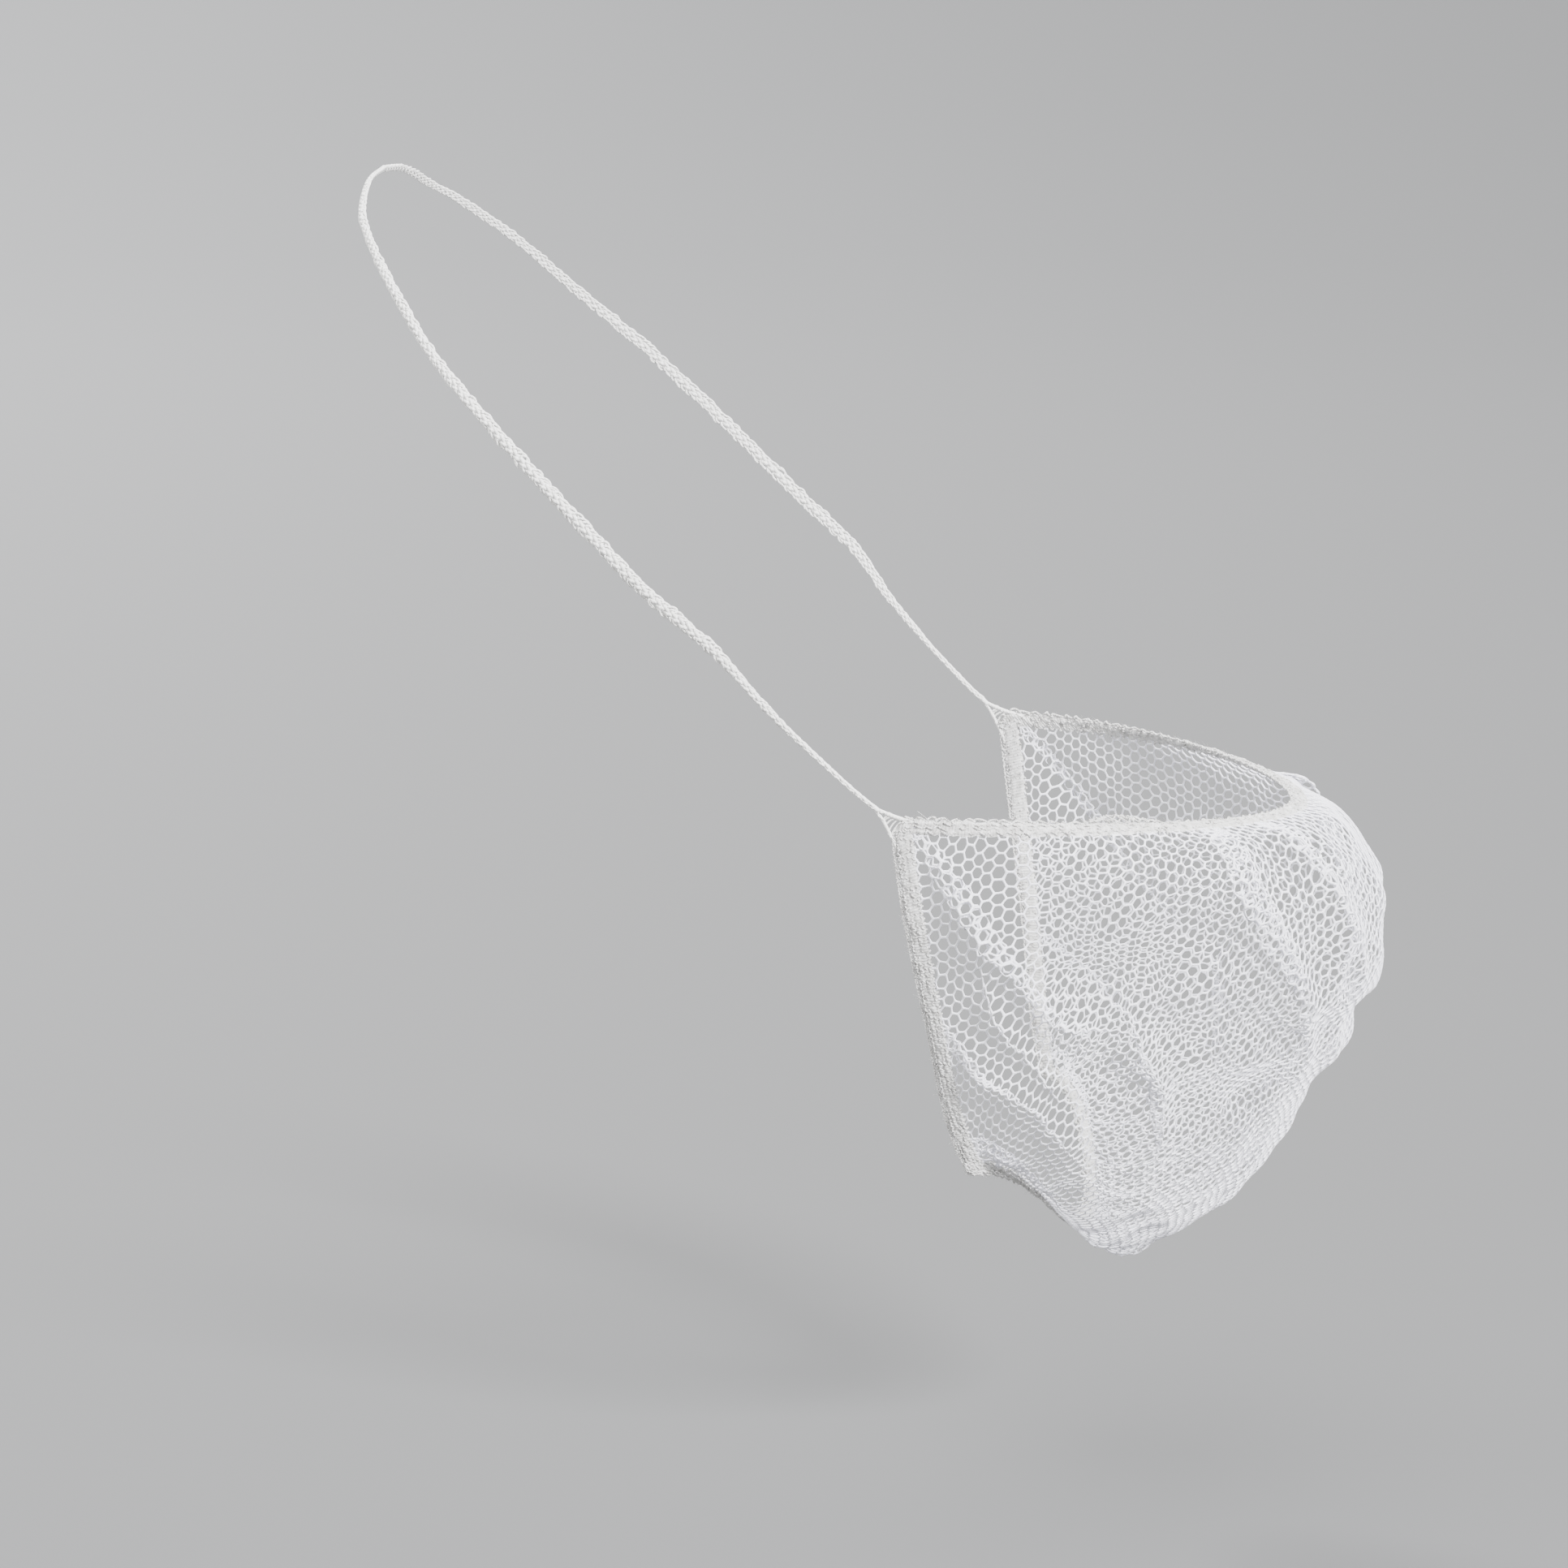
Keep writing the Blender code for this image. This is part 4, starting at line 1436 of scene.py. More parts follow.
@dataclass(frozen=True)
class Chain:
    """One line of loops worked along a hem.

    Attributes:
        inward: Its middle, from the hem's outer edge.
        swing: How far its loops reach to each side.
        pitch: One loop along the hem.
        curl: How far the loops lean back on themselves, as a share of the pitch.
        rise: How far the yarn comes out of the hem's two faces.
        beats: How often the yarn passes from face to face in a loop.
        yarn: The yarn's radius.
        bowed: Whether its loops are a row of bows along the edge, and not a zigzag.
    """

    inward: float
    swing: float
    pitch: float
    curl: float = 0.15
    rise: float = 0.00040
    beats: int = 2
    yarn: float = 0.00018
    bowed: bool = False


@dataclass
class CrochetHem(ABC):
    """A crocheted band along one edge of the pouch: chains of loops over a nubby felted core.

    Attributes:
        form: The pouch.
        name: The piece's name.
        node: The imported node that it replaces.
        width: From the outer edge to the net.
        chains: The lines of loops, from the outer edge inwards.
        seed: Start of its random draws.
        core_half: Half the core's thickness.
        core_start: The core's outer edge, from the hem's own.
        scallop: How far the core's outer edge bows out between stitches.
        scallop_pitch: One bow along the hem.
        corner_cut: How much of both ends is left to the corner fans, along the outer edge.
        nub: How far the felted surface swells and sinks.
        nub_sizes: The smallest and largest of its swellings.
        steps: Points of a chain in one of its loops.
        mesh: Its yarn.
    """

    form: PouchForm
    name: str
    node: str
    width: float
    chains: tuple[Chain, ...]
    seed: int
    core_half: float = 0.00042
    core_start: float = 0.00050
    scallop: float = 0.0
    scallop_pitch: float = 0.0024
    corner_cut: float = 0.0
    nub: float = 0.00011
    nub_sizes: tuple[float, float] = (0.0009, 0.0022)
    steps: int = 16
    mesh: YarnMesh = field(default_factory=YarnMesh)

    CORE_STEP = 0.00042
    CORE_COLUMNS = 9
    CORE_NET_GAP = 0.00020
    CORE_WAVER = (0.00010, 0.0012, 0.005)
    STITCH_WAVES = (0.0035, 0.012)
    STITCH_SPREAD = 0.22
    STITCH_SLIP = 0.12
    PHASE_STEP = 1.3
    FIBRE = 0.000035
    FIBRE_LENGTHS = (0.0004, 0.0013)
    FIBRES_A_METRE = 900
    FIBRE_ROOTS = 0.35
    FIBRE_LIFTS = (-0.5, 0.8)
    TILT = 0.05

    @abstractmethod
    def length(self) -> float:
        """Length of the hem's outer edge."""

    @abstractmethod
    def place(self, run: Array, inward: Array) -> tuple[Array, Array]:
        """Fractions on the pouch of places on the hem.

        Args:
            run: Length along the outer edge.
            inward: Length from the outer edge into the pouch.

        Returns:
            The fractions across and down.
        """

    def on_hem(self, run: Array, inward: Array, height: Array) -> tuple[Array, Array]:
        """Points in space of places on the hem.

        Args:
            run: Length along the outer edge.
            inward: Length from the outer edge into the pouch.
            height: How far out of the pouch.

        Returns:
            The points, and unit vectors out of the pouch there.
        """
        across, down = self.place(run, inward)
        normal = self.form.normal(across, down)
        return self.form.point(across, down) + normal * np.asarray(height)[..., None], normal

    def lay_yarn(self, places: tuple[Array, ...], radius: Array | float, sides: int = 5) -> None:
        """Adds a yarn to the hem.

        Args:
            places: Where it runs, as on_hem() takes them.
            radius: Its radius.
            sides: How many sides it has.
        """
        path, normal = self.on_hem(*places)
        self.mesh.tube(path, radius, normal + self.TILT, sides)

    def start(self, inward: Array) -> Array:
        """Where the hem starts, past the corner that the fan fills."""
        return self.corner_cut * np.clip(1.0 - inward / self.width, 0.0, 1.0)

    def end(self, inward: Array) -> Array:
        """Where the hem ends."""
        return np.full(np.shape(inward), self.length())

    def add_chain(self, chain: Chain, phase: float) -> None:
        """Adds one chain of loops along the hem.

        Args:
            chain: The chain.
            phase: Where in a loop it starts.
        """
        length = self.length()
        loops = int(length / chain.pitch)
        turn = np.linspace(0.0, TURN * loops, loops * self.steps + 1)
        places = turn / TURN * length / loops
        wander = Unevenness(self.seed + int(chain.inward * 1e5), 1.0, *self.STITCH_WAVES)
        strength = 1.0 + self.STITCH_SPREAD * wander.at(places[:, None])
        slip = self.STITCH_SLIP * wander.at(places[:, None] * 1.9 + 0.3)
        run = places + chain.pitch * (chain.curl * np.sin(2 * turn + 2 * phase) + slip)
        wave = 1.0 - 2.0 * np.abs(np.sin((turn + phase) / 2)) ** 0.8 if chain.bowed else np.sin(turn + phase)
        sideways = chain.inward + chain.swing * strength * wave
        height = chain.rise * strength * np.cos(chain.beats * (turn + phase))
        on = (run >= self.start(sideways)) & (run <= self.end(sideways))
        first, last = np.flatnonzero(on)[[0, -1]]
        span = slice(first, last + 1)
        yarn = (np.clip(run[span], 0.0, length), sideways[span], height[span])
        self.lay_yarn(yarn, chain.yarn)

    def add_core(self) -> None:
        """Adds the felted band that the chains are worked over."""
        length = self.length()
        steps = int(length / self.CORE_STEP)
        shares = np.linspace(0.0, 1.0, self.CORE_COLUMNS)
        along, share = np.meshgrid(np.linspace(0.0, 1.0, steps + 1), shares, indexing="ij")
        first = self.start(share * self.width)
        run = first + along * (self.end(share * self.width) - first)
        bow = self.scallop * np.abs(np.sin(math.pi * run / self.scallop_pitch)) ** 0.7
        start = self.core_start - bow
        waver = Unevenness(self.seed, *self.CORE_WAVER).at(np.stack((run, share * 0.002), axis=-1))
        inward = start + share * (self.width - self.CORE_NET_GAP - start) + waver
        flat = np.stack((run, inward), axis=-1)
        swell = np.sqrt(np.maximum(1 - (2 * share - 1) ** 6, 0.0))
        front_nubs = Unevenness(self.seed + 1, self.nub, *self.nub_sizes, 24).at(flat)
        back_nubs = Unevenness(self.seed + 2, self.nub, *self.nub_sizes, 24).at(flat)
        top, _ = self.on_hem(run, inward, swell * (self.core_half + front_nubs))
        base, _ = self.on_hem(run, inward, -swell * (self.core_half + back_nubs))
        under = top[..., 0].size
        number = np.arange(under).reshape(run.shape)
        grid = np.stack((number[:-1, :-1], number[:-1, 1:], number[1:, 1:], number[1:, :-1]), axis=-1)
        grid = grid.reshape(-1, 4)
        edges = ((number[:, 0], False), (number[:, -1], True), (number[0], True), (number[-1], False))
        rims = [self._rim(line, under, flip) for line, flip in edges]
        quads = np.concatenate((grid, grid[:, ::-1] + under, *rims))
        marks = np.tile(np.stack((run.ravel() * 1000, share.ravel()), axis=1), (2, 1))
        points = np.concatenate((top.reshape(-1, 3), base.reshape(-1, 3)))
        self.mesh.add(points, quads, marks[quads])

    def add_fibres(self) -> None:
        """Adds the fine loose fibres that stand off the hem."""
        draws = np.random.default_rng(self.seed + 3)
        length = self.length()
        share = np.linspace(0.0, 1.0, 6)
        for _ in range(int(length * self.FIBRES_A_METRE)):
            start = draws.uniform(self.corner_cut, length)
            inward = draws.uniform(0.0, self.FIBRE_ROOTS) * self.width
            reach = draws.uniform(*self.FIBRE_LENGTHS)
            lean = draws.uniform(-1.0, 1.0)
            lift = draws.uniform(*self.FIBRE_LIFTS)
            bend = draws.uniform(-1.0, 1.0)
            run = start + reach * (lean * share + bend * share**2 * 0.6)
            inwards = inward - (inward + reach * 0.8) * share * (1 - 0.25 * abs(lean))
            height = self.core_half + reach * lift * share
            fibre = (np.clip(run, 0.0, length), inwards, height)
            self.lay_yarn(fibre, self.FIBRE * (1 - 0.6 * share), 3)

    @staticmethod
    def _rim(line: Array, offset: int, flip: bool) -> Array:
        """Quads that join one edge of the core's two faces, turned round if flip is set."""
        rim = np.stack((line[:-1], line[1:], line[1:] + offset, line[:-1] + offset), axis=1)
        return rim[:, ::-1] if flip else rim

    def build(self) -> None:
        """Makes the hem's core, chains and fibres."""
        self.add_core()
        for index, chain in enumerate(self.chains):
            self.add_chain(chain, index * self.PHASE_STEP)
        self.add_fibres()

    def dress(self, material: Material) -> Object:
        """Makes the hem's object from its yarn."""
        self.build()
        return self.mesh.dress(self.name, material, self.node, "crochet_hem")


@dataclass
class UpperHem(CrochetHem):
    """The hem from cheek to cheek over the upper lip.

    Attributes:
        crest: Where a fold of net stands over the hem: fractions across of its two ends.
        crest_height: How far it stands over the hem.
        crest_rows: Rows of loops in it.
        stray_ends: Fractions across where a cut end of yarn sticks out, and how it leans along the hem.
        stray_length: Length of a stray end.
    """

    crest: tuple[float, float] = (-0.615, -0.462)
    crest_height: float = 0.0025
    crest_rows: int = 3
    stray_ends: tuple[tuple[float, float], ...] = (
        (-0.925, -0.9), (-0.684, 0.5), (-0.624, -0.3), (-0.319, 0.8),
    )
    stray_length: float = 0.0015

    CREST_PITCH = 0.00155
    CREST_YARN = 0.00018
    CREST_FOOT = 0.0002
    CREST_LOOP = 0.56
    CREST_TOP_LOOP = 0.00010
    CREST_CURL = 0.10
    CREST_DEPTH = 0.00012
    CREST_STAND = 0.0004
    CREST_WANDER = (0.16, 0.0015, 0.005)
    STRAY_YARN = 0.00009
    STRAY_ROOT = 0.0006

    def build(self) -> None:
        """Makes the hem, with its crest and stray ends."""
        super().build()
        self.add_crest()
        self.add_stray_ends()

    def add_crest(self) -> None:
        """Adds the arch of loops where a fold of net stands over the hem."""
        first, last = ((place + 1) * float(self.form.half_width(0.0)) for place in self.crest)
        span = last - first
        loops = int(span / self.CREST_PITCH)
        turn = np.linspace(0.0, TURN * loops, loops * self.steps + 1)
        share = turn / (TURN * loops)
        arch = self.crest_height * np.sin(math.pi * share) ** 0.7
        wander = Unevenness(self.seed + 9, *self.CREST_WANDER)
        for row in range(self.crest_rows + 1):
            level = row / self.crest_rows
            swing = arch / self.crest_rows * self.CREST_LOOP if level < 1 else self.CREST_TOP_LOOP
            uneven = wander.at(np.stack((share * span, share * 0 + row * 0.003), axis=1))
            run = first + span * share + self.CREST_PITCH * (self.CREST_CURL * np.sin(2 * turn) + uneven)
            over = arch * level + swing * (1 + uneven) * np.sin(turn + row * math.pi)
            height = self.CREST_DEPTH * np.cos(2 * turn + row) + self.CREST_STAND * np.sin(math.pi * level)
            self.lay_yarn((run, self.CREST_FOOT - over, height), self.CREST_YARN)

    def add_stray_ends(self) -> None:
        """Adds the cut ends of yarn that stick out over the hem."""
        share = np.linspace(0.0, 1.0, 7)
        for place, lean in self.stray_ends:
            start = (place + 1) * float(self.form.half_width(0.0))
            run = start + self.stray_length * lean * share * (1 + 0.4 * share)
            inward = self.STRAY_ROOT - (self.stray_length + self.STRAY_ROOT) * share
            end = (run, inward, 0.0002 + 0.0004 * share)
            self.lay_yarn(end, self.STRAY_YARN * (1 - 0.5 * share))

    def end(self, inward: Array) -> Array:
        """Where the hem ends, short of the corner that the fan fills."""
        return self.length() - self.start(inward)

    def length(self) -> float:
        """Length of the hem's outer edge."""
        return 2 * float(self.form.half_width(0.0))

    def place(self, run: Array, inward: Array) -> tuple[Array, Array]:
        """Fractions on the pouch of places on the hem, counted from the wearer's right."""
        across = run / float(self.form.half_width(0.0)) - 1
        return across, self.form.down_after(across, inward)


@dataclass
class LowerHem(CrochetHem):
    """The hem round the throat under the chin."""

    def length(self) -> float:
        """Length of the hem's outer edge."""
        return 2 * float(self.form.half_width(1.0))

    def place(self, run: Array, inward: Array) -> tuple[Array, Array]:
        """Fractions on the pouch of places on the hem, counted from the wearer's right."""
        across = run / float(self.form.half_width(1.0)) - 1
        return across, self.form.down_after(across, self.form.drop(across) - inward)


@dataclass
class SideHem(CrochetHem):
    """The hem down one side of the jaw."""

    side: Side = Side.RIGHT

    def length(self) -> float:
        """Length of the hem's outer edge."""
        return float(self.form.drop(1.0))

    def place(self, run: Array, inward: Array) -> tuple[Array, Array]:
        """Fractions on the pouch of places on the hem, counted from the cheekbone."""
        down = self.form.down_after(np.ones_like(run), run)
        return self.side.value * (1 - inward / self.form.half_width(down)), down


@dataclass
class HeadStrap:
    """The elastic over the back of the crown: a flat three-ply braid with loops along both edges.

    Attributes:
        plies: How many plies the braid has.
        braid_pitch: One turn of a ply along the strap.
        ply_steps: Points of a ply in one turn.
        loop_yarn: Radius of the edge loops' yarn.
        loop_pitch: One loop along the strap.
        loop_steps: Points in one loop.
        loop_curl: How far the loops lean back on themselves, as a share of the pitch.
        crown_middle: The point that the strap's flat side faces.
        core_least: The least half width of the dense middle.
        core_share: How much of the strap's own half width is added to that.
        loose_from: Half width from which the strap slackens and its loops open.
        loose_span: How much wider it is where they are fully open.
        mesh: Its yarn.
        length: Running length of its middle line.
        frames: The line's points, the vectors beside it and off the crown, and half the braid's width.
    """

    plies: int = 3
    braid_pitch: float = 0.0058
    ply_steps: int = 14
    loop_yarn: float = 0.00022
    loop_pitch: float = 0.0022
    loop_steps: int = 14
    loop_curl: float = 0.22
    crown_middle: tuple[float, float, float] = (0.0, -0.075, -0.075)
    core_least: float = 0.00032
    core_share: float = 0.34
    loose_from: float = 0.00075
    loose_span: float = 0.00050
    mesh: YarnMesh = field(default_factory=YarnMesh)
    length: Array = field(init=False)
    frames: Array = field(init=False)

    SPACING = 0.0003
    TILT = 0.03
    PLY_THICKNESS = 0.50
    PLY_DEPTH = 0.55
    PLY_WAVER = 0.12
    PLY_WAVES = (0.006, 0.02)
    LOOP_ROOT = 1.6
    LOOP_DEPTH = 0.00020
    LOOP_LAG = 0.9
    TIGHT_CURL = 0.4
    LOOP_SIZES = (0.35, 1.15)
    LOOP_SLIPS = (-0.30, 0.30)
    LOOP_ROWS = ((0.0, 31), (0.5, 35))

    def __post_init__(self) -> None:
        """Works out the frames along the strap's middle line."""
        line, radius = self.route()
        self.length = running_length(line)
        tangent = unit(np.gradient(line, axis=0))
        outward = line - np.array(self.crown_middle)
        outward = unit(outward - (outward * tangent).sum(axis=1, keepdims=True) * tangent)
        self.frames = np.concatenate((line, np.cross(tangent, outward), outward, radius[:, None]), axis=1)

    def route(self) -> tuple[Array, Array]:
        """The strap's middle line from corner to corner.

        Returns:
            The points, and half the braid's width at each.
        """
        rows = [(index, *point) for index, point in enumerate(STRAP_ROUTE)]
        fine = read_table(rows, np.linspace(0, len(STRAP_ROUTE) - 1, 400))
        left = fine[:0:-1] * (-1, 1, 1, 1)
        whole = np.concatenate((left, fine))
        length = running_length(whole[:, :3])
        even = np.linspace(0.0, length[-1], int(length[-1] / self.SPACING) + 1)
        read = read_line(whole, length, even)
        return read[:, :3], read[:, 3]

    def _read(self, run: Array) -> tuple[Array, Array, Array, Array]:
        """Reads the strap's frames.

        Args:
            run: Lengths along its middle line.

        Returns:
            The points, the vectors beside the line, the vectors off the crown, and half the strap's width.
        """
        read = read_line(self.frames, self.length, run)
        return read[:, :3], read[:, 3:6], read[:, 6:9], read[:, 9]

    def _core_half(self, radius: Array) -> Array:
        """Half the dense middle's width."""
        return self.core_least + self.core_share * radius

    def _ply(self, phase: float) -> None:
        """Adds one ply of the braid.

        Args:
            phase: Where in the braid the ply starts.
        """
        turns = int(self.length[-1] / self.braid_pitch)
        turn = np.linspace(0.0, TURN * turns, turns * self.ply_steps + 1)
        run = turn / (TURN * turns) * self.length[-1]
        line, beside, outward, radius = self._read(run)
        half = self._core_half(radius)
        thick = half * self.PLY_THICKNESS
        wander = 1.0 + self.PLY_WAVER * Unevenness(61, 1.0, *self.PLY_WAVES).at(run[:, None])
        path = line + beside * ((half - thick) * wander * np.sin(turn + phase))[:, None]
        path = path + outward * (thick * self.PLY_DEPTH * np.sin(2 * (turn + phase)))[:, None]
        self.mesh.tube(path, thick, outward + self.TILT, 7)

    def _loops(self, side: int, shift: float, draws: np.random.Generator) -> None:
        """Adds the yarn that loops out along one edge.

        Args:
            side: Which edge, -1 or 1.
            shift: Where in a loop it starts.
            draws: The random draws for its loops.
        """
        loops = int(self.length[-1] / self.loop_pitch)
        turn = np.linspace(0.0, TURN * loops, loops * self.loop_steps + 1)
        turn_number = np.clip(turn / TURN - 0.5, 0, loops - 1)
        knots = np.arange(loops)
        sizes = np.interp(turn_number, knots, draws.uniform(*self.LOOP_SIZES, loops))
        turn = turn + shift * TURN
        slips = np.interp(turn_number, knots, draws.uniform(*self.LOOP_SLIPS, loops))
        even = np.linspace(0.0, self.length[-1], len(turn))
        _, _, _, radius = self._read(even)
        loose = ease((radius - self.loose_from) / self.loose_span)
        curl = self.loop_curl * (self.TIGHT_CURL + (1 - self.TIGHT_CURL) * loose)
        run = np.clip(even + self.loop_pitch * (slips - curl * np.sin(turn)), 0.0, self.length[-1])
        line, beside, outward, radius = self._read(run)
        base = self._core_half(radius) - self.loop_yarn * self.LOOP_ROOT
        reach = np.maximum(radius - self.loop_yarn - base, 0.0) * sizes
        sideways = base + reach * (1 - np.cos(turn)) / 2
        path = line + beside * (side * sideways)[:, None]
        depth = self.LOOP_DEPTH * np.cos(turn + self.LOOP_LAG) * (0.5 + loose)
        path = path + outward * depth[:, None]
        self.mesh.tube(path, self.loop_yarn, outward + self.TILT, 5)

    def build(self) -> None:
        """Makes the braid and the loops along its two edges."""
        for ply in range(self.plies):
            self._ply(ply / self.plies * TURN)
        for index, side in enumerate(Side):
            for shift, seed in self.LOOP_ROWS:
                self._loops(side.value, shift, np.random.default_rng(seed + index))

    def dress(self, material: Material) -> Object:
        """Makes the strap's object from its yarn."""
        self.build()
        return self.mesh.dress("crochet_strap", material, "head_strap", "elastic")


@dataclass
class CornerFan:
    """The yarns that spread from the strap's end on to the upper hem and the side hem.

    Attributes:
        form: The pouch.
        side: Which corner it is at.
        yarn: Radius of its single yarns.
        upper_bundle: Radius of the bundle that runs on to the upper hem.
        side_bundle: Radius of the bundle that runs on to the side hem.
        strands: How many single yarns cross between the bundles.
        forward_reach: How far the upper bundle reaches along its hem.
        down_reach: How far the side bundle reaches along its hem.
        apex_back: How far the strap's end lies behind the pouch's corner.
        apex_up: How far it lies above the corner.
        hem_inset: How far the bundles end inside the hems' outer edges.
    """

    form: PouchForm
    side: Side
    yarn: float = 0.00017
    upper_bundle: float = 0.00042
    side_bundle: float = 0.00034
    strands: int = 9
    forward_reach: float = 0.0056
    down_reach: float = 0.0070
    apex_back: float = 0.0024
    apex_up: float = 0.0016
    hem_inset: float = 0.0010

    LEAN = 0.05
    UPPER_BOW = 0.0003
    SIDE_BOW = 0.0002
    TAPER = 0.25
    WRAP_TURNS = 2.2
    WRAP_OUT = 0.75
    WRAP_YARN = 1.3
    UPPER_FEET = (0.35, 0.62, 0.04)
    SIDE_FEET = (0.22, 0.70, 0.05)
    STRAND_SAG = -0.0002
    STRAND_YARN = (0.9, 1.5)
    KNOT_HALF = 0.0010
    KNOT_YARN = (0.00030, 0.00022)

    def build(self) -> YarnMesh:
        """Makes the fan.

        Returns:
            The fan's mesh data.
        """
        sign = self.side.value
        across = sign * np.array((1.0, 1.0 - self.LEAN, 1.0))
        corner, ahead, below = self.form.point(across, np.array((0.0, 0.0, self.LEAN)))
        forward = unit(ahead - corner)
        down = unit(below - corner)
        facing = unit(np.cross(forward, down)) * (1 if sign < 0 else -1)
        apex = corner - forward * self.apex_back - down * self.apex_up
        mesh = YarnMesh()
        upper_end = corner + forward * self.forward_reach + down * self.hem_inset
        side_end = corner + down * self.down_reach + forward * self.hem_inset
        steps = np.linspace(0.0, 1.0, 13)[:, None]
        upper = self._bowed(apex, upper_end, steps, (down - forward) * self.UPPER_BOW)
        side = self._bowed(apex, side_end, steps, (forward - down) * self.SIDE_BOW)
        taper = 1 - self.TAPER + self.TAPER * np.sin(math.pi * steps[:, 0])
        for path, bundle in ((upper, self.upper_bundle), (side, self.side_bundle)):
            mesh.tube(path, bundle * taper, np.broadcast_to(facing, path.shape), 8)
            turn = steps * TURN * self.WRAP_TURNS
            around = np.cos(turn) * facing + np.sin(turn) * unit(down - forward)
            wrap = path + around * bundle * self.WRAP_OUT
            mesh.tube(wrap, self.yarn * self.WRAP_YARN, np.broadcast_to(down, path.shape), 5)
        draws = np.random.default_rng(71)
        for index in range(self.strands):
            share = (index + 1) / self.strands
            feet = []
            for bundle, (start, span, slip) in ((upper, self.UPPER_FEET), (side, self.SIDE_FEET)):
                feet.append(self._along(bundle, start + span * share + draws.uniform(-slip, slip)))
            lift = facing * draws.uniform(self.STRAND_SAG, -self.STRAND_SAG)
            path = self._bowed(*feet, steps, (forward + down) * self.STRAND_SAG + lift)
            yarn = self.yarn * draws.uniform(*self.STRAND_YARN)
            mesh.tube(path, yarn, np.broadcast_to(facing, path.shape), 5)
        knot = np.linspace(-1.0, 1.0, 9)
        axis = unit(forward + down)
        path = apex + axis * (knot * self.KNOT_HALF)[:, None]
        least, more = self.KNOT_YARN
        mesh.tube(path, least + more * np.sqrt(1 - knot**2), np.broadcast_to(facing, path.shape), 8)
        return mesh

    @staticmethod
    def _bowed(start: Array, end: Array, steps: Array, bow: Array) -> Array:
        """A line between two points that bows out by a vector."""
        return start + (end - start) * steps + bow * np.sin(math.pi * steps)

    @staticmethod
    def _along(path: Array, share: float) -> Array:
        """The point of a line at a share of its steps."""
        low = min(int(share * (len(path) - 1)), len(path) - 2)
        return path[low] + (path[low + 1] - path[low]) * (share * (len(path) - 1) - low)

    def dress(self, material: Material) -> Object:
        """Makes the fan's object from its yarn."""
        word = self.side.word
        return self.build().dress(f"corner_fan_{word}", material, f"corner_gather_{word}", "elastic")


class Lamp(NamedTuple):
    """A soft round light that faces the object; its angles are degrees, as the camera's are."""

    name: str
    azimuth: float
    elevation: float
    distance: float
    size: float
    watts: float


LAMPS = (
    Lamp("overhead_light", 281.0, 89.0, 4.2, 5.0, 480.0),
    Lamp("key_light", 322.0, 28.0, 3.0, 0.7, 330.0),
    Lamp("near_light", 255.0, 16.0, 3.0, 1.2, 30.0),
    Lamp("far_light", 118.0, 24.0, 3.0, 0.8, 190.0),
    Lamp("back_light", 200.0, 25.0, 3.0, 1.2, 60.0),
)


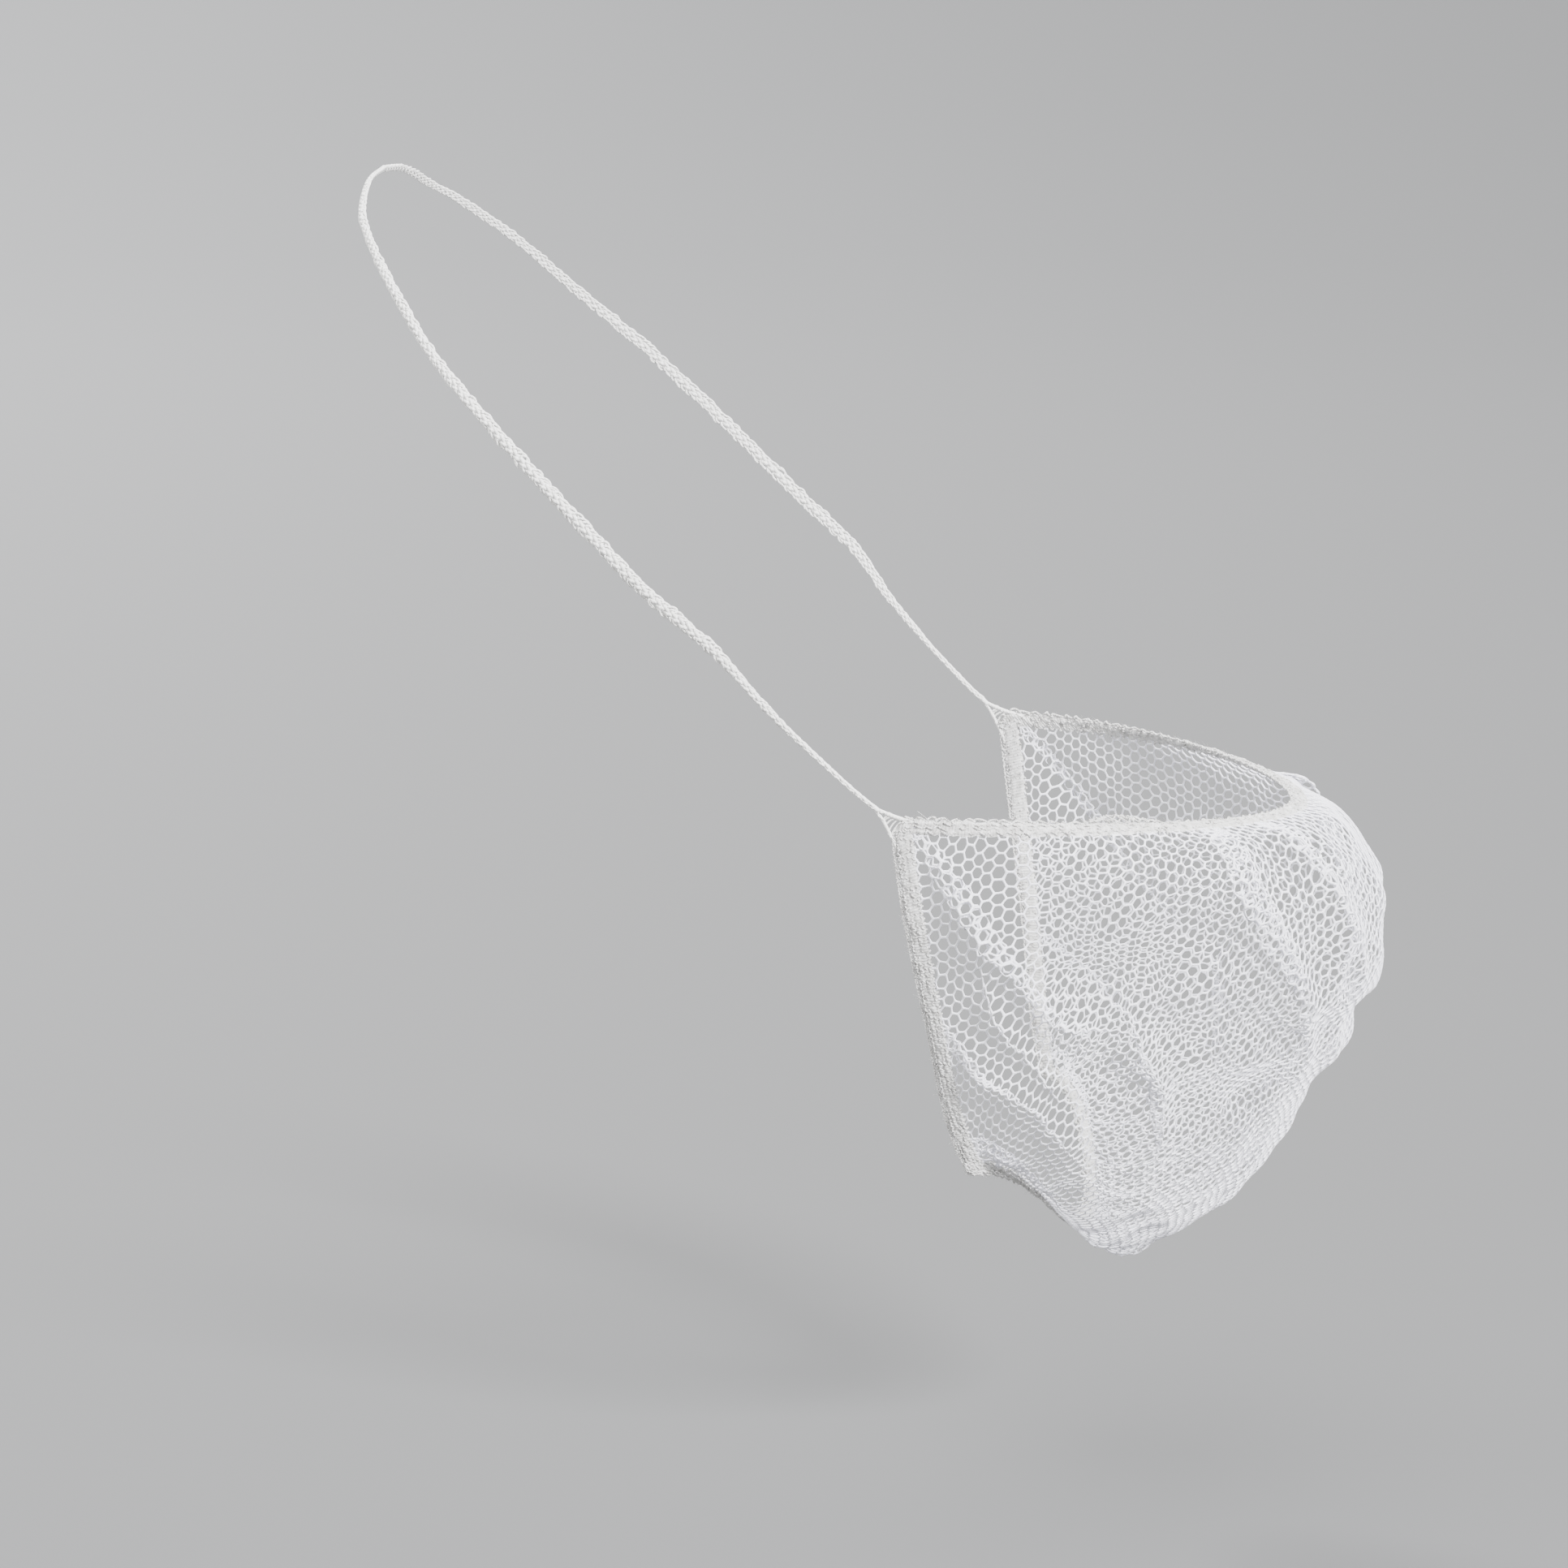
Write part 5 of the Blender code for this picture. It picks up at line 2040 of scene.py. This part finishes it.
@dataclass
class Studio:
    """A plain floor that curves up all round, soft lights and the camera.

    Attributes:
        floor_height: Height of the floor, under the held-up object.
        flat_radius: Radius of its flat middle.
        outer_radius: Its own radius.
        rise: How high it curves up.
        floor_colour: Its colour, which the lights make pale.
        surround: Strength of the light from all round.
        target: The point that the camera and the lights face.
        distance: From there to the camera.
        azimuth: The camera's direction, in degrees.
        elevation: The camera's height above the horizon, in degrees.
        view_width: Width of the view at the target.
        sensor: Width of the camera's sensor, in millimetres.
    """

    floor_height: float = -0.262
    flat_radius: float = 2.0
    outer_radius: float = 3.6
    rise: float = 2.2
    floor_colour: Colour = (0.085, 0.086, 0.088)
    surround: float = 0.40
    target: tuple[float, float, float] = (0.0, -0.0830, -0.1243)
    distance: float = 1.5
    azimuth: float = 281.0
    elevation: float = 10.0
    view_width: float = 0.322
    sensor: float = 36.0

    SIDES = 96
    CURVE_STEPS = 12

    def floor(self) -> None:
        """Makes the floor, a shallow bowl in one piece."""
        profile = [(0.0, 0.0), (self.flat_radius * 0.5, 0.0), (self.flat_radius, 0.0)]
        for step in range(1, self.CURVE_STEPS + 1):
            angle = step / self.CURVE_STEPS * math.pi / 2
            out = self.flat_radius + (self.outer_radius - self.flat_radius) * math.sin(angle)
            profile.append((out, self.rise * (1 - math.cos(angle))))
        points = []
        for radius, height in profile:
            for side in range(self.SIDES):
                angle = side / self.SIDES * TURN
                across, ahead = radius * math.cos(angle), radius * math.sin(angle)
                points.append((across, ahead, self.floor_height + height))
        faces = []
        for low in range(0, len(points) - self.SIDES, self.SIDES):
            for side in range(self.SIDES):
                after = (side + 1) % self.SIDES
                high = low + self.SIDES
                faces.append((low + side, high + side, high + after, low + after))
        mesh = bpy.data.meshes.new("floor")
        mesh.from_pydata(points, [], faces)
        mesh.shade_smooth()
        material = bpy.data.materials.new("pale_floor")
        material.use_nodes = True
        shader = material.node_tree.nodes["Principled BSDF"]
        shader.inputs["Base Color"].default_value = (*self.floor_colour, 1.0)
        shader.inputs["Roughness"].default_value = 0.9
        mesh.materials.append(material)
        floor = bpy.data.objects.new("floor", mesh)
        bpy.context.scene.collection.objects.link(floor)

    def _face(self, made: Object, azimuth: float, elevation: float, distance: float) -> None:
        """Puts a lamp or the camera in its place, facing the object.

        Args:
            made: The lamp or the camera.
            azimuth: Its direction from the object, in degrees.
            elevation: Its height above the horizon, in degrees.
            distance: Its distance.
        """
        turn = math.radians(azimuth)
        rise = math.radians(elevation)
        flat = math.cos(rise)
        back = Vector((math.sin(turn) * flat, -math.cos(turn) * flat, math.sin(rise)))
        made.location = Vector(self.target) + back * distance
        made.rotation_mode = "QUATERNION"
        made.rotation_quaternion = (-back).to_track_quat("-Z", "Y")
        bpy.context.scene.collection.objects.link(made)

    def light(self, lamp: Lamp) -> None:
        """Adds one light.

        Args:
            lamp: What it is and where it stands.
        """
        data = bpy.data.lights.new(lamp.name, "AREA")
        data.shape = "DISK"
        data.size = lamp.size
        data.energy = lamp.watts
        self._face(bpy.data.objects.new(lamp.name, data), lamp.azimuth, lamp.elevation, lamp.distance)

    def camera(self) -> None:
        """Adds the camera at the photograph's angle."""
        data = bpy.data.cameras.new("camera")
        data.sensor_width = self.sensor
        data.lens = self.sensor * self.distance / self.view_width
        data.clip_start = 0.05
        made = bpy.data.objects.new("camera", data)
        self._face(made, self.azimuth, self.elevation, self.distance)
        bpy.context.scene.camera = made

    def build(self) -> None:
        """Makes the floor, the lights, the soft surrounding light and the camera."""
        self.floor()
        for lamp in LAMPS:
            self.light(lamp)
        world = bpy.data.worlds.new("studio")
        world.use_nodes = True
        background = world.node_tree.nodes["Background"]
        background.inputs["Color"].default_value = (1.0, 1.0, 1.0, 1.0)
        background.inputs["Strength"].default_value = self.surround
        bpy.context.scene.world = world
        self.camera()


UPPER_CHAINS = (
    Chain(0.00024, 0.00042, 0.0024, curl=0.0, rise=0.00012, yarn=0.00022, bowed=True),
    Chain(0.00100, 0.00050, 0.00190, curl=0.22, rise=0.00050, yarn=0.00020),
    Chain(0.00185, 0.00062, 0.00210, curl=0.22, rise=0.00052, yarn=0.00020),
    Chain(0.00275, 0.00065, 0.00180, curl=0.20, rise=0.00048, yarn=0.00019),
)
SIDE_CHAINS = (
    Chain(0.00016, 0.00007, 0.00115, curl=0.0, rise=0.00006, yarn=0.00020),
    Chain(0.00062, 0.00045, 0.00115, curl=0.12, rise=0.00016, yarn=0.00016),
    Chain(0.00120, 0.00040, 0.00115, rise=0.00042),
    Chain(0.00205, 0.00055, 0.00125, rise=0.00045),
    Chain(0.00300, 0.00060, 0.00125, rise=0.00045),
    Chain(0.00395, 0.00055, 0.00115, rise=0.00036),
)
LOWER_CHAINS = (
    Chain(0.00028, 0.00042, 0.00210, curl=0.0, rise=0.00012, yarn=0.00021, bowed=True),
    Chain(0.00110, 0.00052, 0.00190, curl=0.22, rise=0.00048, yarn=0.00019),
    Chain(0.00200, 0.00062, 0.00200, curl=0.22, rise=0.00050, yarn=0.00019),
    Chain(0.00300, 0.00060, 0.00180, curl=0.20, rise=0.00046, yarn=0.00019),
)
MIDDLE_PANEL_HALF = 0.034


def make_panels(cloth: NetCloth) -> list[NetPanel]:
    """The three breadths of the net.

    Args:
        cloth: The net.

    Returns:
        The panels, from the wearer's right to the left.
    """
    edges = (-cloth.breadth(), -MIDDLE_PANEL_HALF, MIDDLE_PANEL_HALF, cloth.breadth())
    names = ("net_right", "net_middle", "net_left")
    return [NetPanel(name, low, high) for name, low, high in zip(names, edges, edges[1:])]


def make_hems(form: PouchForm) -> list[CrochetHem]:
    """The four hems round the pouch.

    Args:
        form: The pouch.

    Returns:
        The upper hem, the two down the jaw, and the lower hem.
    """
    coarse = {"core_half": 0.00038, "nub_sizes": (0.0010, 0.0028)}
    upper = UpperHem(
        form, "crochet_upper_hem", "upper_hem", NetCloth.UPPER_HEM_WIDTH, UPPER_CHAINS, seed=41,
        core_start=0.00062, scallop=0.00030, corner_cut=0.0030, nub=0.00017, **coarse,
    )
    sides = [
        SideHem(
            form, f"crochet_side_hem_{side.word}", f"side_hem_{side.word}", NetCloth.SIDE_HEM_WIDTH,
            SIDE_CHAINS, seed=42 + index, core_start=0.0010, corner_cut=0.0040, side=side,
        )
        for index, side in enumerate(Side)
    ]
    lower = LowerHem(
        form, "crochet_lower_hem", "lower_hem", NetCloth.LOWER_HEM_WIDTH, LOWER_CHAINS, seed=44,
        nub=0.00016, **coarse,
    )
    return [upper, *sides, lower]


def main() -> None:
    """Builds every piece in order."""
    logging.basicConfig(level=logging.INFO, format="%(name)s: %(message)s")
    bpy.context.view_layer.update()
    Studio().build()
    effects = YarnEffects(twist_group(), fibre_group(), cloud_group())
    form = PouchForm()
    cloth = NetCloth(form)
    net_yarn = NET_YARN.material(effects)
    hem_yarn = HEM_YARN.material(effects)
    strap_yarn = STRAP_YARN.material(effects)
    panels = make_panels(cloth)
    nets = [panel.dress(cloth, net_yarn) for panel in panels]
    hems = [hem.dress(hem_yarn).name for hem in make_hems(form)]
    for panel, net in zip(panels, nets):
        panel.declare(net, hems)
    HeadStrap().dress(strap_yarn)
    for side in Side:
        CornerFan(form, side).dress(strap_yarn)
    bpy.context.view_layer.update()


if __name__ == "__main__":
    main()
